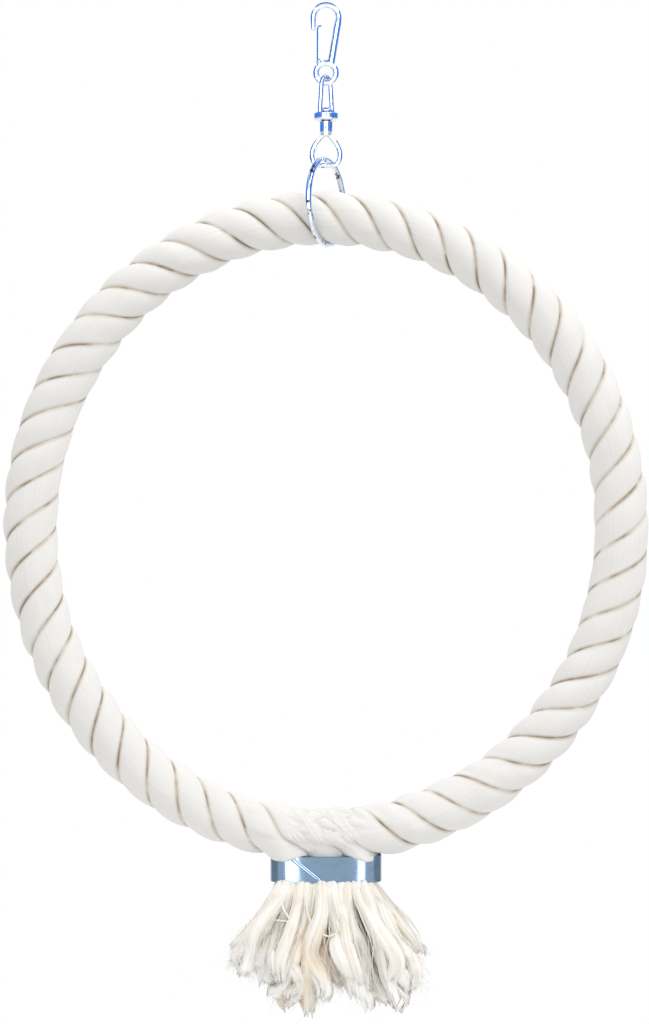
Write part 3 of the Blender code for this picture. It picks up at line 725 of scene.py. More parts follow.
class BandInside:
    """The room inside the pinched band, shared by six strand ends in two rows."""

    def __init__(self, steel):
        self.wall = steel.band_sheet + steel.clearance
        self.half_width = BAND_HALF_WIDTH
        self.half_depth = BAND_HALF_DEPTH - self.wall
        self.flat = BAND_HALF_WIDTH - steel.band_corner
        self.corner = steel.band_corner - self.wall
        self.pitch = 2 * (BAND_HALF_WIDTH - self.wall) / STRANDS

    def depth_at(self, x):
        """Half of the room's depth at places across it."""
        over = np.maximum(0, np.abs(x) - self.flat)
        return self.half_depth - self.corner + np.sqrt(np.maximum(0, self.corner ** 2 - over ** 2))


class StrandOutline:
    """Points round one strand as shares of half its third, radii and painted groove shade, with the core
    point first.
    """

    # The crown: its points, its edge as a share of half the third, and how it falls to there, in grooves
    CROWN_POINTS = 33
    CROWN_EDGE = 0.84
    CROWN_FALL = 1.05
    CROWN_POWER = 2.1
    # Each point of a flank: share of half the third, depth in grooves and how much painted shade it gets
    FLANK = ((0.895, 0.80, 0.85), (0.955, 1.03, 1.0), (1.0, 1.16, 1.0), (1.07, 1.6, 1.0))
    # Painted groove shade on the crown: the share where it starts, and how much lies at the edge
    SHADOW_FROM = 0.72
    EDGE_SHADOW = 0.72
    # Powers by which relief and overhang fade towards the crown's edges
    RELIEF_FADE = 4
    OVERHANG_FADE = 10

    def __init__(self, look):
        crown = np.linspace(self.CROWN_EDGE, -self.CROWN_EDGE, self.CROWN_POINTS)
        flank_share, flank_depth, flank_shadow = np.array(self.FLANK).T
        self.radius = look.diameter / 2
        self.core = look.core_wire / 2 + look.groove / 4
        flank_reach = self.radius - look.groove * flank_depth
        crown_reach = self.radius - look.groove * self.CROWN_FALL * np.abs(crown) ** self.CROWN_POWER
        crown_shadow = ramped(np.abs(crown), self.SHADOW_FROM, self.CROWN_EDGE) * self.EDGE_SHADOW
        self.share = np.concatenate([[0], flank_share[::-1], crown, -flank_share])
        self.reach = np.concatenate([[self.core], flank_reach[::-1], crown_reach, flank_reach])
        self.dust = np.concatenate([[0], flank_shadow[::-1], crown_shadow, flank_shadow])
        self.shoulder = flank_reach[0]
        self.on_crown = np.abs(self.share) <= self.CROWN_EDGE
        self.on_crown[0] = False
        self.soft = self.fading(self.RELIEF_FADE)
        self.overhung = self.fading(self.OVERHANG_FADE)
        self.fill = np.where(self.reach > self.radius - 2 * look.groove, self.radius - self.reach, 0)

    def fading(self, power):
        """1 on the middle of the crown, which falls to 0 at its edges, and 0 on the flanks."""
        return np.where(self.on_crown, 1 - (self.share / self.CROWN_EDGE) ** power, 0)


class Strand:
    """One strand of the rope, from its front end in the band round the ring to its back end."""

    # Angle round the rope at which a strand turns down in front
    FRONT = 1.5 * math.pi
    # Rows of points: for each yarn on the ring, on the way down to the band, and in the band
    ROWS_PER_YARN = 3
    DROP_ROWS = 24
    BAND_ROWS = 6
    # Least and most height of a yarn, which is then squared
    PROUD = (0.1, 1)
    # Gain of the waves that say where the rope is rumpled
    RUMPLE_GAIN = 2.5
    # How much painted shade the join's creases get
    CREASE_SHADOW = 0.45
    # In the band: how deep the flanks reach, as a share of the room, and a strand's width in pitches
    PRESSED_EDGE = 0.90
    PRESSED_SPREAD = 1.02
    # Overhang over the band's edge, from none to full: shares of the half width, and of the way down
    OVERHANG_ACROSS = (0.20, 0.70)
    OVERHANG_OUT = (0.30, 0.75)
    OVERHANG_DOWN = (0.40, 0.85)
    OVERHANG_END = (0.97, 0.85)

    def __init__(self, look, lay, room, column, rng):
        self.look, self.lay, self.room = look, lay, room
        self.outline = StrandOutline(look)
        self.join = Join(look, lay.middle.z)
        last_column = (column + 2) % STRANDS - 1
        ring = self.laid(column, last_column, rng)
        front = self.dropped(ring[0], column, -1)[::-1]
        back = self.dropped(ring[-1], last_column, 1)
        self.points = np.concatenate([front, ring, back])
        self.yarn = (np.arange(len(self.points)) - len(front))[:, None] / self.ROWS_PER_YARN
        on_ring = np.zeros((len(self.points), 1))
        on_ring[len(front):-len(back)] = 1
        # Painted shade on the groove walls and crown edges, less where the join fills the grooves
        open_shadow = self.outline.dust * (1 - Join.FILL * self.join.share(self.points))
        # Painted shade in the creases of the join
        crease_shadow = self.CREASE_SHADOW * self.join.crease(self.points) * self.outline.soft * on_ring
        self.groove = np.maximum(open_shadow, crease_shadow)

    def laid(self, column, last_column, rng):
        """Rows round the ring, from where the strand leaves the band to where it turns down again."""
        lay, outline = self.lay, self.outline
        start = lay.pitch / 4 - column * lay.pitch / STRANDS
        stop = lay.length - lay.pitch / 4 - last_column * lay.pitch / STRANDS
        yarns = round((stop - start) / lay.pitch * self.look.yarns)
        along = np.linspace(start, stop, yarns * self.ROWS_PER_YARN + 1)[:, None]
        angle = self.FRONT - 2 * math.pi * (along - start) / lay.pitch
        run = along + outline.share * lay.pitch / (2 * STRANDS)
        plain = lay.places(run, angle, outline.reach)
        return lay.places(run, angle, outline.reach + self.relief(plain, yarns, rng))

    def relief(self, plain, yarns, rng):
        """How far points of the plain strand move out, for its yarns, lumps, rumples and the join."""
        look, outline, rows = self.look, self.outline, len(plain)
        swell = np.sin(np.linspace(0, yarns * math.pi, rows)) ** 2
        proud = np.repeat(rng.uniform(*self.PROUD, yarns + 1) ** 2, self.ROWS_PER_YARN)[:rows]
        lumps = Waves(rng, count=9, low=120, high=420).at(plain)
        rumpled = np.clip(self.RUMPLE_GAIN * Waves(rng, count=4, low=20, high=60).at(plain), 0, 1)
        rumples = rumpled * Waves(rng, count=6, low=350, high=900).at(plain)
        height = look.relief * (swell * proud)[:, None] + look.lump * lumps + look.rumple * rumples
        height += self.join.height(plain)
        return height * outline.soft + self.join.closed(plain) * outline.fill

    def pressed(self, end_column, side, z):
        """One row in the band, at a height."""
        outline, room = self.outline, self.room
        wide = np.where(outline.on_crown, outline.share / outline.CROWN_EDGE, np.sign(outline.share))
        x = end_column * room.pitch - self.PRESSED_SPREAD * wide * room.pitch / 2
        crown_depth = (outline.reach / outline.radius) ** 2
        flank_depth = self.PRESSED_EDGE * (outline.reach - outline.core) / (outline.shoulder - outline.core)
        depth = room.depth_at(x) * np.where(outline.on_crown, crown_depth, flank_depth)
        return np.stack([x, side * depth, np.full_like(x, z)], axis=-1)

    def dropped(self, first, end_column, side):
        """Rows that carry the ring's end row on, down over the band's edge and through the band."""
        look, lay, outline, join = self.look, self.lay, self.outline, self.join
        last = self.pressed(end_column, side, BAND_HIGH.z)
        slope = 2 * math.pi * outline.reach / lay.pitch
        heading = unit(np.stack([np.full_like(slope, -side), np.zeros_like(slope), -slope], axis=-1))
        arm = (lay.middle.z - lay.half_height - BAND_HIGH.z) / 2
        t = np.linspace(0, 1, self.DROP_ROWS + 1)[1:, None, None]
        curve = ((1 - t) ** 3 * first + 3 * t * (1 - t) ** 2 * (first + arm * heading)
                 + 3 * t * t * (1 - t) * (last + arm * UP) + t ** 3 * last)
        t = t[..., 0]
        halfway = 4 * t * (1 - t)
        if end_column == side:
            curve[..., 0] += side * look.bulge * halfway ** 2 * np.clip(-side * outline.share, 0, 1) ** 2
        crumple = join.share(curve) * join.hills.at(curve) * outline.soft
        curve[..., 1] += side * look.crease * halfway * crumple
        beside = ramped(np.abs(curve[..., 0]) / self.room.half_width, *self.OVERHANG_ACROSS)
        beside = beside * outline.overhung
        out = np.minimum(ramped(t, *self.OVERHANG_OUT), ramped(t, 1, 1 - 1 / self.DROP_ROWS))
        down = np.minimum(ramped(t, *self.OVERHANG_DOWN), ramped(t, *self.OVERHANG_END))
        curve[..., 1] += side * (self.room.wall + look.groove / 2) * out * beside
        curve[..., 2] -= look.hang * down * beside
        heights = np.linspace(BAND_HIGH.z, BAND_LOW.z, self.BAND_ROWS)[1:]
        foot = [self.pressed(end_column, side, z) for z in heights]
        return np.concatenate([curve, np.array(foot)])


class SWING_OT_rope(bpy.types.Operator):
    """Lay the three cotton strands round the ring and dress the hoop in their core"""

    bl_idname = "swing.rope"
    bl_label = "Laid rope"

    # Step from one strand's yarn numbers to the next one's, so that every yarn has a tone of its own
    YARN_NUMBERS = 1000

    def execute(self, context):
        look = context.scene.swing_rope
        steel = context.scene.swing_steel
        lay = RopeLay(look)
        room = BandInside(steel)
        finish = laid_cotton(look)
        for number, column in enumerate((-1, 0, 1), 1):
            strand = Strand(look, lay, room, column, np.random.default_rng(number))
            marks = {"yarn": (strand.yarn + self.YARN_NUMBERS * number)[None],
                     "across": strand.outline.share[None, None], "groove": strand.groove[None]}
            mesh = tubes_mesh(f"laid_strand_{number}", strand.points[None], marks)
            add_piece(f"laid_strand_{number}", mesh, "rope", "cotton", finish, f"rope_strand_{number}")
        core = plated_steel("core_wire", steel.core, steel.dull_core, 0.45, EVEN_MARKS)
        dress_node("core_hoop", core)
        return {"FINISHED"}


# Locks of yarn in a tuft, side by side and one behind the other, and how much of the strand's end they fill
LOCKS_ACROSS = 6
LOCKS_DEEP = 3
ROOT_WIDTH = 0.86
# Rows along a lock, the power that sets them closer at the band, and points round it
LOCK_ROWS = 28
ROOT_FINENESS = 1.4
LOCK_SIDES = 40
# A thread keeps one of so many of its lock's rows
THREAD_STEP = 3
THREAD_SIDES = 4
WISP_ROWS = 6
WISP_SIDES = 3
LOOSE_ROWS = 40
LOOSE_SIDES = 6
# Fine fibres that the finish shows round each kind of yarn
LOCK_FIBRES = 70.0
THREAD_FIBRES = 4.0
WISP_FIBRES = 2.0
# How the thicknesses of threads and wisps differ
YARN_SIZES = (0.6, 1.3)
# Gap by which the locks start below the strands' ends
ROOT_GAP = 1e-7
TUFTS = [(row, side, column, place) for row, side in (("front", -1), ("back", 1))
         for column, place in ((-1, "left"), (0, "middle"), (1, "right"))]
# Drop of the tassel's hem at places across it, in metres
HEM_PLACES = (-0.047, -0.034, -0.024, -0.016, -0.008, -0.001, 0.010, 0.018, 0.028, 0.040, 0.047)
HEM_DROPS = (0.036, 0.047, 0.049, 0.062, 0.063, 0.052, 0.050, 0.058, 0.060, 0.052, 0.037)
# Partings between locks in front: place across at the band, run to the side over the drop, and half width
PARTINGS = ((0.0080, 0.383, 0.0046), (-0.0170, -0.375, 0.0046))
# Loose yarns in front of the others: thickness, and places across, out from the band and down from it
LOOSE_YARNS = (
    (0.0010, ((-0.0100, -0.0010, 0.0030), (-0.0092, 0.0040, 0.0090), (-0.0065, 0.0078, 0.0175),
              (0.0, 0.0092, 0.0225), (0.0050, 0.0090, 0.0210), (0.0095, 0.0070, 0.0160),
              (0.0122, 0.0040, 0.0110), (0.0125, 0.0, 0.0060))),
    (0.0011, ((-0.0210, 0.0, 0.0060), (-0.0195, 0.0055, 0.0105), (-0.0165, 0.0068, 0.0155),
              (-0.0135, 0.0060, 0.0210))),
    (0.0010, ((-0.0260, 0.0020, 0.0165), (-0.0215, 0.0060, 0.0160), (-0.0175, 0.0068, 0.0165),
              (-0.0130, 0.0060, 0.0185))),
)


def yarn_marks(rng, count, along, deep, fibres):
    """What the frayed finish reads: way to the tip, depth for painted shade, fibres and a random tone for
    each yarn.
    """
    return {"along": along, "deep": deep, "fibres": fibres, "tone": rng.uniform(0, 1, (count, 1, 1))}


class Tuft:
    """One of the six frayed strand ends, made of soft locks of yarn that fan out from the band."""

    # How far a root leaves the middle of its own room, as a share of that room
    ROOT_STRAY_ACROSS = 0.3
    ROOT_STRAY_DEEP = 0.2
    # How much shorter the back is than the hem in front, and how lengths differ
    BACK_SHORTER = 0.10
    LENGTHS = (0.92, 1.08)
    # Waves down a lock, in radians for each metre, and how their heights differ
    CRIMP_PACES = (90, 230)
    CRIMP_HEIGHTS = (0.3, 1.7)
    # Powers by which the tassel opens to the sides and to the front and back
    OPEN_ACROSS = 1.1
    OPEN_DEEP = 0.6
    # The tassel's inside, as a share of its half sizes, and how fast it gets deep and takes painted shade
    INSIDE = 0.76
    INSIDE_GAIN = 2.6
    # Ridges of yarn round a lock: how many, and their height as a share of its radius
    RIDGES = ((3, 0.16), (7, 0.13), (12, 0.08), (19, 0.05))
    # How ridges bunch up, in waves round the lock and radians, and how far they turn and wander down it
    BUNCHES = ((2, 0.30), (3, 0.20))
    RIDGE_TURN = 0.5
    RIDGE_WANDER = 0.8
    LOCK_SIZES = (0.8, 1.15)
    # A lock's end: where it starts to taper, by how much and how, and how thin its last row is
    TAPER_FROM = 0.70
    TAPER = 0.3
    TAPER_POWER = 1.5
    LAST_ROW = 0.35
    # Ragged ends: where they start, and shares of the length for valleys, by chance and for the last row
    RAGGED_FROM = 0.5
    VALLEY_JAG = 0.16
    CHANCE_JAG = 0.10
    LAST_JAG = 0.14
    # Relief at which a valley starts and is full, for the ragged ends and for its painted shade
    JAG_RELIEF = (1 / 6, -1 / 6)
    SHADE_RELIEF = (0.0875, -0.1625)
    VALLEY_SHADE = 0.50
    # Threads: lift off their lock, waves in radians for each metre, and how rarely they stray far
    THREAD_LIFTS = (-0.01, 0.04)
    THREAD_PACES = (80, 260)
    THREAD_STRAY_POWER = 2.5
    # Their tips: turn away from the lock, length and taper
    THREAD_TURN = 0.30
    THREAD_TIPS = (0.0005, 0.0045)
    THREAD_TAPER = 0.7
    # How much painted shade a thread takes on its way across to the next lock
    CROSSED_SHADE = 0.45
    # Wisps: length, stray and curl, which are less upwards, bend, taper and how bleached they start
    WISP_LENGTHS = (0.003, 0.008)
    WISP_STRAY = 0.45 * np.array((1, 1, 0.4))
    WISP_CURL = 0.3 * np.array((1, 1, 0.3))
    WISP_CURL_PACES = (4, 9)
    WISP_BEND = 1.5
    WISP_TAPER = 0.8
    WISP_ROOT = 0.6

    def __init__(self, look, room, row, side, column, place):
        self.node = f"tassel_{row}_{place}"
        self.name = f"frayed_{row}_{place}"
        self.look = look
        rng = self.rng = np.random.default_rng((look.seed, column + 1, side + 1))
        count = LOCKS_ACROSS * LOCKS_DEEP
        cell = np.arange(count)
        across = cell % LOCKS_ACROSS + 0.5 + self.ROOT_STRAY_ACROSS * rng.uniform(-1, 1, count)
        deep = cell // LOCKS_ACROSS + 0.5 + self.ROOT_STRAY_DEEP * rng.uniform(-1, 1, count)
        across, deep = across / LOCKS_ACROSS - 0.5, deep / LOCKS_DEEP
        root_x = ROOT_WIDTH * room.pitch * (column + across)
        root_y = side * deep * (room.depth_at(root_x) - look.lock_root / 2)
        spread_x = (look.width - look.lock) / (2 * ROOT_WIDTH * room.half_width)
        spread_y = (look.depth - look.lock) / (2 * room.half_depth)
        tip_x = root_x * spread_x + rng.normal(0, look.stray, count)
        tip_y = root_y * spread_y + rng.normal(0, look.stray, count)
        hem = np.interp(tip_x, HEM_PLACES, HEM_DROPS) * (1 - self.BACK_SHORTER * (side > 0))
        self.length = hem * rng.uniform(*self.LENGTHS, count)
        self.t = np.linspace(0, 1, LOCK_ROWS) ** ROOT_FINENESS
        drop = self.t * self.length[:, None]
        self.opened = np.clip(drop / look.flare, 0, 1)
        open_x, open_y = self.opened ** self.OPEN_ACROSS, self.opened ** self.OPEN_DEEP
        pace = rng.uniform(*self.CRIMP_PACES, (2, count, 1))
        phase = rng.uniform(0, 2 * math.pi, (2, count, 1))
        sway = look.crimp * rng.uniform(*self.CRIMP_HEIGHTS, (count, 1)) * self.opened
        wave = np.sin(drop * pace + phase) * sway
        x = root_x[:, None] + (tip_x - root_x)[:, None] * open_x + wave[0]
        y = root_y[:, None] + (tip_y - root_y)[:, None] * open_y + wave[1]
        puff = drop / look.puff_drop * np.exp(1 - drop / look.puff_drop)
        outer = deep[:, None] ** 2
        y = y + side * look.puff * outer * puff
        if side < 0:
            for start, run, half in PARTINGS:
                off = x - start - run * drop
                away = np.sign(off.mean(axis=1, keepdims=True)) * outer
                x = x + away * half * np.exp(-(off / (2 * half)) ** 2) * self.opened
        self.lines = np.stack([x, y, BAND_LOW.z - ROOT_GAP - drop], axis=-1)
        self.half_x = room.half_width + (look.width / 2 - room.half_width) * open_x
        self.half_y = room.half_depth + (look.depth / 2 - room.half_depth) * open_y

    def buried(self, points, lock, rows):
        """How deep points that belong to locks and their rows lie inside the tassel, up to 1."""
        share_x = points[..., 0] / self.half_x[lock, rows]
        share_y = points[..., 1] / self.half_y[lock, rows]
        return np.clip(self.INSIDE_GAIN * (self.INSIDE - np.hypot(share_x, share_y)), 0, 1)

    def lock_relief(self):
        """Ridges of yarn round the locks, as shares of their radii."""
        count, t, rng = len(self.lines), self.t[:, None], self.rng
        angle = np.linspace(0, 2 * math.pi, LOCK_SIDES, endpoint=False)
        phase = rng.uniform(0, 2 * math.pi, (len(self.BUNCHES), count, 1, 1))
        bent = angle + rng.normal(0, self.RIDGE_TURN, (count, 1, 1)) * t
        for (waves, shift), start in zip(self.BUNCHES, phase):
            bent = bent + shift * np.sin(waves * angle + start)
        relief = np.zeros((count, LOCK_ROWS, LOCK_SIDES))
        for ridges, height in self.RIDGES:
            first = rng.uniform(0, math.pi, (count, 1, 1))
            first = first + rng.normal(0, self.RIDGE_WANDER, (count, 1, 1)) * t ** 2
            relief += height * (np.abs(np.cos(ridges / 2 * bent + first)) - 2 / math.pi)
        return relief

    def lock_mesh(self):
        """Soft bodies of the locks, with ridges of yarn along them and ragged ends."""
        look, rng, t = self.look, self.rng, self.t
        count = len(self.lines)
        relief = self.lock_relief()
        full = look.lock_root + (look.lock - look.lock_root) * np.sin(self.opened * math.pi / 2)
        end = 1 - self.TAPER * ramped(t, self.TAPER_FROM, 1) ** self.TAPER_POWER
        size = full / 2 * end * rng.uniform(*self.LOCK_SIZES, (count, 1))
        size[:, -1] *= self.LAST_ROW
        self.rings = round_rings(self.lines, size[..., None] * (1 + relief), LOCK_SIDES)
        jag = self.VALLEY_JAG * ramped(relief[:, -1], *self.JAG_RELIEF)
        jag = jag + self.CHANCE_JAG * rng.uniform(0, 1, (count, LOCK_SIDES))
        lift = self.length[:, None, None] * jag[:, None] * ramped(t, self.RAGGED_FROM, 1)[:, None] ** 2
        lift[:, -1] = self.length[:, None] * self.LAST_JAG
        self.rings -= unit(np.gradient(self.lines, axis=1))[:, :, None] * lift[..., None]
        # Painted shade, deeper inside the tassel and in the valleys between ridges
        deep = self.buried(self.rings, np.arange(count)[:, None, None], np.arange(LOCK_ROWS)[:, None])
        deep = deep + self.VALLEY_SHADE * ramped(relief, *self.SHADE_RELIEF)
        marks = yarn_marks(rng, count, t[None, :, None], deep, LOCK_FIBRES)
        return tubes_mesh(self.name, self.rings, marks)

    def thread_mesh(self):
        """Thin yarns on the locks, which cross to the next and leave them at the ends, and their lines."""
        look, rng = self.look, self.rng
        count = len(self.lines) * look.threads
        lock = np.repeat(np.arange(len(self.lines)), look.threads)[:, None]
        point = rng.integers(0, LOCK_SIDES, (count, 1))
        rows = np.arange(0, LOCK_ROWS - 1, THREAD_STEP)
        path = self.rings[lock, rows, point]
        path = path + (path - self.lines[lock, rows]) * rng.uniform(*self.THREAD_LIFTS, (count, 1, 1))
        place = lock % LOCKS_ACROSS
        beside = lock - place + np.clip(place + rng.choice((-1, 1), (count, 1)), 0, LOCKS_ACROSS - 1)
        opened = self.opened[lock, rows, None]
        crossed = look.matting * rng.uniform(0, 1, (count, 1, 1)) * opened
        path = path + crossed * (self.rings[beside, rows, point] - path)
        pace = rng.uniform(*self.THREAD_PACES, (count, 1, 3))
        drop = BAND_LOW.z - path[..., 2:]
        loose = look.stray * rng.uniform(0, 1, (count, 1, 1)) ** self.THREAD_STRAY_POWER * opened
        path += np.sin(drop * pace + rng.uniform(0, 2 * math.pi, (count, 1, 3))) * loose * (1, 1, 0)
        step = unit(path[:, -1] - path[:, -2]) + rng.normal(0, self.THREAD_TURN, (count, 3))
        step = step * rng.uniform(*self.THREAD_TIPS, (count, 1))
        # Painted shade inside the tassel and on threads that cross between locks
        deep = self.buried(path, lock, rows) + self.CROSSED_SHADE * crossed[..., 0]
        deep = np.concatenate([deep, deep[:, -1:]], axis=1)[..., None]
        path = np.concatenate([path, path[:, -1:] + step[:, None]], axis=1)
        t = np.linspace(0, 1, path.shape[1])
        radii = rng.uniform(*YARN_SIZES, (count, 1)) * look.thread / 2 * (1 - self.THREAD_TAPER * t ** 3)
        marks = yarn_marks(rng, count, t[None, :, None], deep, THREAD_FIBRES)
        return tubes_mesh(self.name + "_threads", round_rings(path, radii, THREAD_SIDES), marks), path

    def wisp_mesh(self, lines):
        """Thin fibres that leave the yarns in their lower half."""
        rng, count = self.rng, self.look.wisps
        every = np.arange(count)
        parent = lines[rng.integers(0, len(lines), count)]
        first = rng.integers(lines.shape[1] // 2, lines.shape[1] - 1, count)
        start = parent[every, first][:, None]
        heading = unit(parent[every, first + 1] - parent[every, first - 1])[:, None]
        stray = rng.normal(size=(count, 1, 3)) * self.WISP_STRAY
        reach = rng.uniform(*self.WISP_LENGTHS, (count, 1, 1))
        t = np.linspace(0, 1, WISP_ROWS)[None, :, None]
        curl = rng.normal(size=(count, 1, 3)) * self.WISP_CURL
        curl = curl * np.sin(t * rng.uniform(*self.WISP_CURL_PACES, (count, 1, 1))) * t
        path = start + reach * (t * heading + t ** self.WISP_BEND * stray + curl)
        sizes = rng.uniform(*YARN_SIZES, (count, 1))
        radii = self.look.wisp / 2 * sizes * (1 - self.WISP_TAPER * t[..., 0])
        marks = yarn_marks(rng, count, self.WISP_ROOT + (1 - self.WISP_ROOT) * t, 0.0, WISP_FIBRES)
        return tubes_mesh(self.name + "_wisps", round_rings(path, radii, WISP_SIDES), marks)


class SWING_OT_tassel(bpy.types.Operator):
    """Fray the six strand ends below the band into yarns and wisps"""

    bl_idname = "swing.tassel"
    bl_label = "Frayed tassel"

    def execute(self, context):
        look = context.scene.swing_tassel
        room = BandInside(context.scene.swing_steel)
        finish = frayed_cotton(look)
        for row, side, column, place in TUFTS:
            tuft = Tuft(look, room, row, side, column, place)
            locks = tuft.lock_mesh()
            threads, lines = tuft.thread_mesh()
            wisps = tuft.wisp_mesh(lines)
            for kind, mesh in (("", locks), ("_threads", threads), ("_wisps", wisps)):
                add_piece(tuft.name + kind, mesh, "rope", "frayed_cotton", finish, tuft.node)
        add_piece("loose_yarns", self.loose(look), "rope", "frayed_cotton", finish, "tassel_front_middle")
        return {"FINISHED"}

    def loose(self, look):
        """Thin bundles of yarn that sag, cross or bend in front of the others."""
        rng = np.random.default_rng(look.seed)
        lines = []
        for thickness, places in LOOSE_YARNS:
            corners = [Vector((x, BAND_LOW.y - out, BAND_LOW.z - drop)) for x, out, drop in places]
            line = smooth_line(corners, LOOSE_ROWS)
            line = line[np.linspace(0, len(line) - 1, LOOSE_ROWS).round().astype(int)]
            count = math.ceil((thickness / look.thread) ** 2)
            beside = unit(rng.normal(size=(count, 1, 3)))
            away = rng.uniform(0, 1, (count, 1, 1)) ** 0.5 * (thickness - look.thread) / 2
            lines.append(line + beside * away)
        lines = np.concatenate(lines)
        t = np.linspace(0, 1, LOOSE_ROWS)
        marks = yarn_marks(rng, len(lines), t[None, :, None] / 2, 0.0, THREAD_FIBRES)
        radii = np.full(lines.shape[:2], look.thread / 2)
        return tubes_mesh("loose_yarns", round_rings(lines, radii, LOOSE_SIDES, (0.0, 1.0, 0.0)), marks)


class SWING_OT_band(bpy.types.Operator):
    """Bend the pinched band round the strand ends and lap its slanted seam"""

    bl_idname = "swing.band"
    bl_label = "Pinched band"

    # The rounded oblong that the band's outline follows
    OUTLINE_STEPS = 160
    ROUNDNESS = 3.6
    # Part of the sheet's thickness by which the band's edges are rounded
    EDGE_PART = 1 / 3
    # The ridge along the seam, whose ends sink into the band with this power of the way from its middle
    LAP_STEPS = 17
    LAP_SIDES = 32
    LAP_SINK = 16

    def execute(self, context):
        steel = context.scene.swing_steel
        finish = plated_steel("band_plating", steel.band, steel.dull_band, 0.13, BAND_MARKS)
        add_piece("pinched_band", self.band(steel), "rope", "band_steel", finish, "clamp_band", sharp=40)
        add_piece("band_lap", self.lap(steel), "rope", "band_steel", finish, "clamp_band")
        return {"FINISHED"}

    def front(self, x):
        """Y of the band's outside in front, at a place across it."""
        return -BAND_HALF_DEPTH * (1 - abs(x / BAND_HALF_WIDTH) ** self.ROUNDNESS) ** (1 / self.ROUNDNESS)

    def band(self, steel):
        """The strip, bent to its outline and pulled up to its height, with rounded edges."""
        bm = bmesh.new()
        loop = bmesh.ops.create_circle(bm, segments=self.OUTLINE_STEPS, radius=1)["verts"]
        power = 2 / self.ROUNDNESS
        for vert in loop:
            vert.co.x = BAND_HALF_WIDTH * math.copysign(abs(vert.co.x) ** power, vert.co.x)
            vert.co.y = BAND_HALF_DEPTH * math.copysign(abs(vert.co.y) ** power, vert.co.y)
            vert.co.z = BAND_LOW.z
        raised = bmesh.ops.extrude_edge_only(bm, edges=bm.edges)["geom"]
        top = of_kind(bmesh.types.BMVert, raised)
        bmesh.ops.translate(bm, vec=(0, 0, BAND_HIGH.z - BAND_LOW.z), verts=top)
        bmesh.ops.recalc_face_normals(bm, faces=bm.faces)
        return finished_mesh("band", bm, [
            ("SOLIDIFY", {"thickness": steel.band_sheet, "offset": -1, "use_even_offset": True}),
            ("BEVEL", {"width": steel.band_sheet * self.EDGE_PART, "segments": 3, "limit_method": "ANGLE",
                       "angle_limit": math.radians(50)}),
        ])

    def lap(self, steel):
        """The rounded edge of the strip's outer end, which lies over the other end in front."""
        middle = (BAND_LOW.z + BAND_HIGH.z) / 2
        rise = (BAND_HIGH.z - BAND_LOW.z) / 2 - steel.band_sheet * self.EDGE_PART
        line = []
        for share in np.linspace(-1, 1, self.LAP_STEPS):
            x = steel.seam_offset - share * rise * math.tan(steel.seam_lean)
            sunk = steel.lap_round - steel.lap_rise * (1 - 2 * abs(share) ** self.LAP_SINK)
            line.append((x, self.front(x) + sunk, middle + share * rise))
        radii = np.full((1, len(line)), steel.lap_round)
        rings = round_rings(np.array([line]), radii, self.LAP_SIDES, (0.0, 1.0, 0.0))
        return tubes_mesh("band_lap", rings, {})


# Sides of a wire, and the voxels and passes of smoothing with which overlapping shapes become one
WIRE_SIDES = 20
FORGE_VOXEL = 0.00016
FORGE_PASSES = 10


def forged_mesh(name, bm):
    """Fuse overlapping closed shapes into one skin with soft inner corners."""
    close_ends(bm)
    bmesh.ops.recalc_face_normals(bm, faces=bm.faces)
    return finished_mesh(name, bm, [
        ("REMESH", {"mode": "VOXEL", "voxel_size": FORGE_VOXEL}),
        ("SMOOTH", {"factor": 0.5, "iterations": FORGE_PASSES}),
    ])


def start_wire(bm, place, heading, radius):
    """A round wire's first section, square to its heading. Gives its edges."""
    turn = Vector(heading).to_track_quat("Z", "Y").to_matrix().to_4x4()
    made = bmesh.ops.create_circle(bm, segments=WIRE_SIDES, radius=radius,
                                   matrix=Matrix.Translation(place) @ turn)
    return list({edge for vert in made["verts"] for edge in vert.link_edges})


def pull_wire(bm, ring, step, swell=1.0):
    """Draw the wire on from its last section, in a straight line. Gives the new last section."""
    made = bmesh.ops.extrude_edge_only(bm, edges=ring)["geom"]
    verts = of_kind(bmesh.types.BMVert, made)
    bmesh.ops.translate(bm, vec=step, verts=verts)
    middle = sum((vert.co for vert in verts), Vector()) / len(verts)
    bmesh.ops.scale(bm, vec=(swell, swell, swell), space=Matrix.Translation(-middle), verts=verts)
    fresh = set(verts)
    return [edge for edge in of_kind(bmesh.types.BMEdge, made) if fresh.issuperset(edge.verts)]


def bend_wire(bm, ring, centre, axis, angle, steps):
    """Draw the wire on from its last section, round a bend. Gives the new last section."""
    verts = {vert for edge in ring for vert in edge.verts}
    made = bmesh.ops.spin(bm, geom=[*verts, *ring], cent=centre, axis=axis, angle=angle, steps=steps,
                          use_duplicate=False)
    return of_kind(bmesh.types.BMEdge, made["geom_last"])


def turn_profile(bm, profile, steps=64):
    """Spin a profile of (radius, height) points, which starts and ends on the Z axis or is a loop."""
    rim = [bm.verts.new((radius, 0, height)) for radius, height in profile]
    edges = [bm.edges.new(pair) for pair in zip(rim, rim[1:])]
    bmesh.ops.spin(bm, geom=rim + edges, axis=(0, 0, 1), cent=(0, 0, 0), angle=2 * math.pi, steps=steps,
                   use_merge=True)
    bmesh.ops.remove_doubles(bm, verts=bm.verts, dist=WELD)


def round_loop(bm, centre, radius, wire, steps=96):
    """A closed wire ring about the Y axis."""
    ring = start_wire(bm, centre + Vector((radius, 0, 0)), (0, 0, 1), wire / 2)
    verts = {vert for edge in ring for vert in edge.verts}
    bmesh.ops.spin(bm, geom=[*verts, *ring], cent=centre, axis=(0, 1, 0), angle=2 * math.pi, steps=steps,
                   use_merge=True)
    bmesh.ops.remove_doubles(bm, verts=bm.verts, dist=WELD)


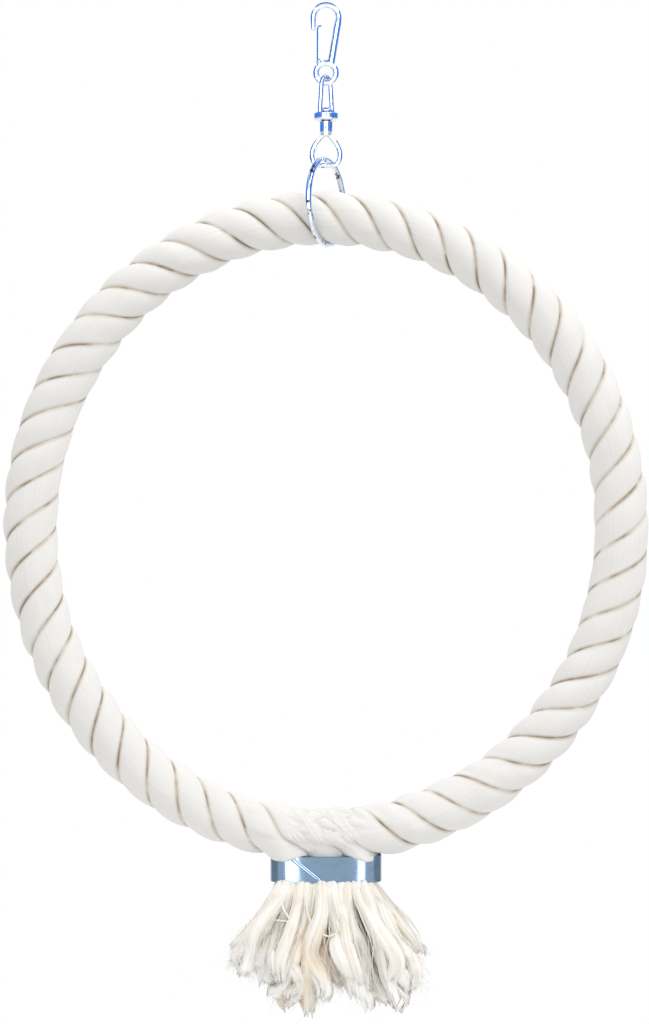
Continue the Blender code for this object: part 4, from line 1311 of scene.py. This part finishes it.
class SWING_OT_hook(bpy.types.Operator):
    """Forge the snap hook's body and finish its gate, rivet and spring"""

    bl_idname = "swing.hook"
    bl_label = "Snap hook"

    BEND_STEPS = 32
    # Part of the leg over which its wire swells
    SWELL_PART = 0.12
    # Part of the gate's sheet by which its edges are rounded
    EDGE_PART = 1 / 5

    def execute(self, context):
        steel = context.scene.swing_steel
        zinc = zinc_plating(steel)
        add_piece("hook_body", self.body(steel), "hook", "zinc_plate", zinc, "snap_body")
        add_piece("folded_gate", self.gate(steel), "gate", "zinc_plate", zinc, "snap_gate", sharp=40)
        dress_node("gate_rivet", zinc)
        spring = plated_steel("spring_leaf", steel.spring, steel.dull_spring, 0.35, UPRIGHT_MARKS)
        dress_node("gate_spring", spring)
        return {"FINISHED"}

    def body(self, steel):
        """A wire from the nose round the bend and down the leg to the fixed eye, with the gate's lug."""
        bend_z = steel.hook_wire / 2 - steel.hook_bend
        tip = Vector((-steel.hook_bend, 0, bend_z - steel.nose))
        eye = JOINT["yoke_swing"]
        eye_radius = (steel.eye_bore + steel.eye_wire) / 2
        foot = eye + eye_radius * Vector((math.cos(steel.hook_foot), 0, math.sin(steel.hook_foot)))
        leg = foot - Vector((steel.hook_bend, 0, bend_z))
        bm = bmesh.new()
        ring = start_wire(bm, tip, (0, 0, 1), steel.hook_tip / 2)
        ring = pull_wire(bm, ring, (0, 0, steel.nose), steel.hook_wire / steel.hook_tip)
        ring = bend_wire(bm, ring, (0, 0, bend_z), (0, 1, 0), math.pi, self.BEND_STEPS)
        ring = pull_wire(bm, ring, self.SWELL_PART * leg, steel.hook_leg / steel.hook_wire)
        pull_wire(bm, ring, (1 - self.SWELL_PART) * leg)
        round_loop(bm, eye, eye_radius, steel.eye_wire)
        bmesh.ops.create_uvsphere(bm, u_segments=24, v_segments=12, radius=steel.hook_tip / 2,
                                  matrix=Matrix.Translation(tip))
        across = Matrix.Translation(JOINT["gate_hinge"]) @ Matrix.Rotation(math.radians(90), 4, "X")
        bmesh.ops.create_cone(bm, cap_ends=True, segments=40, radius1=steel.lug / 2, radius2=steel.lug / 2,
                              depth=steel.lug_thickness, matrix=across)
        return forged_mesh("hook_body", bm)

    def gate(self, steel):
        """A sheet folded round the hook's opening, with its web cut away at the rivet."""
        low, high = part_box("snap_gate")
        size = high - low
        place = Matrix.Translation((low + high) / 2) @ Matrix.Diagonal((*size, 1))
        bm = bmesh.new()
        bmesh.ops.create_cube(bm, size=1, matrix=place)
        bm.normal_update()
        # The sheet is open towards the hook's leg and at its foot
        open_faces = [face for face in bm.faces if face.normal.x > 0.9 or face.normal.z < -0.9]
        bmesh.ops.delete(bm, geom=open_faces, context="FACES_ONLY")
        folds = [edge for edge in bm.edges if len(edge.link_faces) == 2]
        bmesh.ops.bevel(bm, geom=folds, affect="EDGES", offset=steel.gate_fold, segments=5, profile=0.5,
                        material=-1)
        foot = bmesh.new()
        bmesh.ops.create_cube(foot, size=1)
        lip = size.y / 2 - steel.gate_fold
        top = JOINT["gate_hinge"].z + steel.gate_web
        bmesh.ops.scale(foot, vec=(2 * size.x, 2 * lip, 2 * (top - low.z)), verts=foot.verts)
        bmesh.ops.translate(foot, vec=(low.x, 0, low.z), verts=foot.verts)
        cutter = loose_object("gate_cutter", foot)
        mesh = finished_mesh("folded_gate", bm, [
            ("SOLIDIFY", {"thickness": steel.gate_sheet, "offset": -1}),
            ("BOOLEAN", {"operation": "DIFFERENCE", "object": cutter}),
            ("BEVEL", {"width": steel.gate_sheet * self.EDGE_PART, "segments": 2, "limit_method": "ANGLE"}),
        ])
        bpy.data.objects.remove(cutter, do_unlink=True)
        return mesh


class SWING_OT_swivel(bpy.types.Operator):
    """Forge the swivel's bow with its collar and the pin with its bell-shaped eye"""

    bl_idname = "swing.swivel"
    bl_label = "Swivel"

    BEND_STEPS = 24
    # Rounding of the collar's edges as a share of the bow's wire
    COLLAR_EDGE = 0.4
    # The peened head: its flat and its round as shares of its radius, the round's drop and the rim's height
    HEAD_FLAT = 0.44
    HEAD_ROUND = 0.84
    HEAD_DROP = 0.0005
    HEAD_RIM = 0.0004
    # Half of the bell from the middle of its bar up to the neck: shares of its half width and its height
    BELL = ((0, 0), (0.80, 0.06), (1, 0.40), (0.64, 0.76), (0, 1))
    BELL_STEPS = 12

    def execute(self, context):
        steel = context.scene.swing_steel
        zinc = zinc_plating(steel, reflecting=True)
        add_piece("swivel_bow", self.bow(steel), "yoke", "zinc_plate", zinc, "swivel_yoke")
        add_piece("swivel_pin", self.pin(steel), "swivel", "zinc_plate", zinc, "swivel_eye")
        return {"FINISHED"}

    def bow(self, steel):
        """A wire that leans in from its feet and bends over the hook's eye, and the collar at its feet."""
        collar_low = JOINT["swivel_turn"].z
        collar_high = collar_low + steel.collar_height
        bend_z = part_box("swivel_yoke")[1].z - steel.yoke_wire / 2 - steel.yoke_bend
        foot = Vector((-steel.yoke_foot, 0, (collar_low + collar_high) / 2))
        knee = collar_high + steel.pin_head_height
        lean = steel.yoke_foot - steel.yoke_bend
        bm = bmesh.new()
        ring = start_wire(bm, foot, (0, 0, 1), steel.yoke_wire / 2)
        ring = pull_wire(bm, ring, (0, 0, knee - foot.z))
        ring = pull_wire(bm, ring, (lean, 0, bend_z - knee))
        ring = bend_wire(bm, ring, (0, 0, bend_z), (0, 1, 0), math.pi, self.BEND_STEPS)
        ring = pull_wire(bm, ring, (lean, 0, knee - bend_z))
        pull_wire(bm, ring, (0, 0, foot.z - knee))
        close_ends(bm)
        bore = steel.pin / 2 + steel.clearance
        outer = steel.yoke_foot + steel.yoke_wire / 2
        edge = steel.yoke_wire * self.COLLAR_EDGE
        turn_profile(bm, [
            (bore, collar_high), (outer - edge, collar_high), (outer, collar_high - edge),
            (outer, collar_low + edge), (outer - edge, collar_low), (bore, collar_low), (bore, collar_high),
        ])
        bmesh.ops.rotate(bm, matrix=Matrix.Rotation(math.pi / 2 - steel.yoke_yaw, 3, "Z"), verts=bm.verts)
        return forged_mesh("swivel_bow", bm)

    def pin(self, steel):
        """A turned pin with its peened head over the collar and its neck below, and the bell-shaped eye."""
        collar_low = JOINT["swivel_turn"].z
        neck_high = collar_low - steel.clearance
        neck_low = neck_high - steel.neck_length
        head_low = collar_low + steel.collar_height + steel.clearance
        head_high = head_low + steel.pin_head_height
        shank, head, neck = steel.pin / 2, steel.pin_head / 2, steel.neck / 2
        bm = bmesh.new()
        turn_profile(bm, [
            (0, head_high), (self.HEAD_FLAT * head, head_high),
            (self.HEAD_ROUND * head, head_high - self.HEAD_DROP), (head, head_low + self.HEAD_RIM),
            (head, head_low), (shank, head_low), (shank, neck_high), (neck, neck_high),
            (neck, neck_low + shank / 2), (shank, neck_low - shank / 2), (0, neck_low - shank / 2),
        ])
        bar_z = JOINT["ring_swing"].z
        reach, rise = (steel.bell_width - steel.bell_wire) / 2, neck_low - bar_z
        half = [Vector((across * reach, 0, bar_z + up * rise)) for across, up in self.BELL]
        corners = half + [Vector((-point.x, 0, point.z)) for point in half[-2:0:-1]]
        line = smooth_loop(corners, self.BELL_STEPS)
        # The loop runs on past its start, so that its two ends fuse in the forge
        line = np.concatenate([line, line[:2]])
        radii = np.full((1, len(line)), steel.bell_wire / 2)
        rings = round_rings(line[None], radii, WIRE_SIDES, (0.0, 1.0, 0.0))
        bm.from_mesh(tubes_mesh("bell", rings[:, 1:], {}))
        return forged_mesh("swivel_pin", bm)


class SWING_OT_ring(bpy.types.Operator):
    """Bend the welded ring that the rope lies in, with its weld bead"""

    bl_idname = "swing.ring"
    bl_label = "Welded ring"

    BEND_STEPS = 160
    # The bead: its place and half its width round the ring, and how far it swells the wire
    BEAD_ANGLE = math.radians(-20)
    BEAD_SPREAD = math.radians(4)
    BEAD_SWELL = 0.16

    def execute(self, context):
        steel = context.scene.swing_steel
        middle = (RING_LOW + RING_HIGH) / 2
        radius = (RING_HIGH.z - RING_LOW.z - steel.ring_wire) / 2
        bm = bmesh.new()
        round_loop(bm, Vector(), radius, steel.ring_wire, self.BEND_STEPS)
        for vert in bm.verts:
            angle = math.atan2(vert.co.z, vert.co.x)
            wire = radius * Vector((math.cos(angle), 0, math.sin(angle)))
            bead = self.BEAD_SWELL * math.exp(-((angle - self.BEAD_ANGLE) / self.BEAD_SPREAD) ** 2)
            vert.co = wire + (vert.co - wire) * (1 + bead)
        turn = Matrix.Translation(middle) @ Matrix.Rotation(math.pi / 2 - steel.ring_yaw, 4, "Z")
        bmesh.ops.transform(bm, matrix=turn, verts=bm.verts)
        bmesh.ops.recalc_face_normals(bm, faces=bm.faces)
        zinc = zinc_plating(steel, reflecting=True)
        add_piece("welded_ring", as_mesh("welded_ring", bm), "hanger", "zinc_plate", zinc, "hang_ring")
        return {"FINISHED"}


class SWING_OT_stage(bpy.types.Operator):
    """Set up the floor, the lamps, the cards, the white surround and the camera"""

    bl_idname = "swing.stage"
    bl_label = "Stage"

    # Places and sizes of the lamps
    KEY_PLACE = (0.55, -0.65, 0.95)
    KEY_SIZE = (0.9, 0.7)
    LEFT_PLACE = (-0.35, -1.10, -0.30)
    LEFT_SIZE = (0.36, 1.5)
    RIGHT_PLACE = (0.36, -1.10, -0.30)
    RIGHT_SIZE = (0.19, 1.5)
    # Cards on both sides, whose places are those at the right, and the card above
    BLUE_PLACE = (0.6, -0.20, 0.15)
    BLUE_SIZE = (0.7, 1.5)
    GREY_PLACE = (0.6, 0.05, -0.45)
    GREY_SIZE = (0.4, 1.0)
    TOP_PLACE = (0, -0.05, 0.6)
    TOP_SIZE = (0.9, 1.3)

    def execute(self, context):
        look = context.scene.swing_stage
        context.scene.view_settings.view_transform = "Standard"
        self.floor(look)
        self.surround(context.scene, look)
        self.lamp("key_lamp", self.KEY_PLACE, self.KEY_SIZE, look.key)
        left = self.lamp("left_lamp", self.LEFT_PLACE, self.LEFT_SIZE, look.left)
        right = self.lamp("right_lamp", self.RIGHT_PLACE, self.RIGHT_SIZE, look.right)
        left.visible_diffuse = right.visible_diffuse = False
        for side in (-1, 1):
            mirror = Vector((side, 1, 1))
            self.card(mirror * Vector(self.BLUE_PLACE), self.BLUE_SIZE, side * math.pi / 2, look.blue_card)
            self.card(mirror * Vector(self.GREY_PLACE), self.GREY_SIZE, side * math.pi / 2, look.grey_card)
        self.card(self.TOP_PLACE, self.TOP_SIZE, 0, look.top_card)
        self.camera(context.scene, look)
        return {"FINISHED"}

    def floor(self, look):
        bm = bmesh.new()
        bmesh.ops.create_circle(bm, cap_ends=True, segments=96, radius=look.floor_radius)
        floor = loose_object("floor", bm)
        floor.location.z = CAD_BOX[0].z - look.floor_drop
        floor.data.materials.append(floor_finish(look))

    def card(self, place, size, turn, colour):
        """A card beside or above the swing, which only polished steel sees."""
        bm = bmesh.new()
        bmesh.ops.create_grid(bm, x_segments=1, y_segments=1, size=0.5)
        bmesh.ops.scale(bm, vec=(*size, 1), verts=bm.verts)
        lean = Matrix.Translation(place) @ Matrix.Rotation(turn, 4, "Y")
        bmesh.ops.transform(bm, matrix=lean, verts=bm.verts)
        card = loose_object("card", bm)
        material, _, shader = new_finish("card", Base_Color=(0, 0, 0, 1), Emission_Strength=1)
        shader.inputs["Emission Color"].default_value = ink(colour)
        card.data.materials.append(material)
        card.visible_camera = False
        card.visible_diffuse = False
        card.visible_shadow = False

    def surround(self, scene, look):
        """White to the eye and in reflections, and a softer light, most from above, on everything else."""
        world = bpy.data.worlds.new("surround")
        world.use_nodes = True
        board = Board(world.node_tree)
        light = board.node("ShaderNodeLightPath")
        seen = light.out("Is Camera Ray") + light.out("Is Glossy Ray") + light.out("Is Transmission Ray")
        seen = board.node("ShaderNodeClamp", None, {"Value": seen})
        heading = board.node("ShaderNodeTexCoord", None, None, "Generated")
        above = board.node("ShaderNodeSeparateXYZ", None, {0: heading}, "Z")
        soft = above * look.overhead + look.ambient
        back = world.node_tree.nodes["Background"]
        back.inputs["Color"].default_value = (1, 1, 1, 1)
        board.feed(back.inputs["Strength"], seen * (1 - soft) + soft)
        scene.world = world

    def lamp(self, name, place, size, power):
        """A lamp that looks at the middle of the swing."""
        data = bpy.data.lights.new(name, "AREA")
        data.shape = "RECTANGLE"
        data.size, data.size_y = size
        data.energy = power
        lamp = bpy.data.objects.new(name, data)
        lamp.location = place
        target = Vector((0, 0, (CAD_BOX[0].z + CAD_BOX[1].z) / 2))
        lamp.rotation_euler = (target - Vector(place)).to_track_quat("-Z", "Y").to_euler()
        bpy.context.scene.collection.objects.link(lamp)
        return lamp

    def camera(self, scene, look):
        """A camera straight in front, which shows the swing where the photograph has it."""
        data = bpy.data.cameras.new("camera")
        data.lens = look.lens
        data.sensor_width = look.sensor
        camera = bpy.data.objects.new("camera", data)
        distance = PHOTO_HEIGHT * METRES_PER_PIXEL * look.lens / look.sensor
        across = (PHOTO_WIDTH / 2 - AXIS_PIXEL) * METRES_PER_PIXEL
        height = (HANG_POINT_PIXEL - PHOTO_HEIGHT / 2) * METRES_PER_PIXEL
        camera.location = (across, -distance, height)
        camera.rotation_euler = (math.pi / 2, 0, 0)
        scene.collection.objects.link(camera)
        scene.camera = camera


class SWING_PT_panel(bpy.types.Panel):
    """Lists the pieces of the swing"""

    bl_label = "Rope ring swing"
    bl_idname = "SWING_PT_panel"
    bl_space_type = "VIEW_3D"
    bl_region_type = "UI"
    bl_category = "Swing"

    def draw(self, context):
        for operator in OPERATORS:
            self.layout.operator(operator.bl_idname)
        for name, group in LOOKS.items():
            box = self.layout.box()
            box.label(text=group.__doc__)
            for setting in group.__annotations__:
                box.prop(getattr(context.scene, name), setting)


LOOKS = {
    "swing_rope": RopeLook,
    "swing_tassel": TasselLook,
    "swing_steel": SteelLook,
    "swing_stage": StageLook,
}
OPERATORS = (SWING_OT_rope, SWING_OT_tassel, SWING_OT_band, SWING_OT_hook, SWING_OT_swivel, SWING_OT_ring,
             SWING_OT_stage)
CLASSES = (*LOOKS.values(), *OPERATORS, SWING_PT_panel)


def register():
    for entry in CLASSES:
        bpy.utils.register_class(entry)
    for name, group in LOOKS.items():
        setattr(bpy.types.Scene, name, PointerProperty(type=group))


def unregister():
    for name in LOOKS:
        delattr(bpy.types.Scene, name)
    for entry in reversed(CLASSES):
        bpy.utils.unregister_class(entry)


def main():
    register()
    bpy.ops.swing.rope()
    bpy.ops.swing.tassel()
    bpy.ops.swing.band()
    bpy.ops.swing.hook()
    bpy.ops.swing.swivel()
    bpy.ops.swing.ring()
    bpy.ops.swing.stage()


if __name__ == "__main__":
    main()
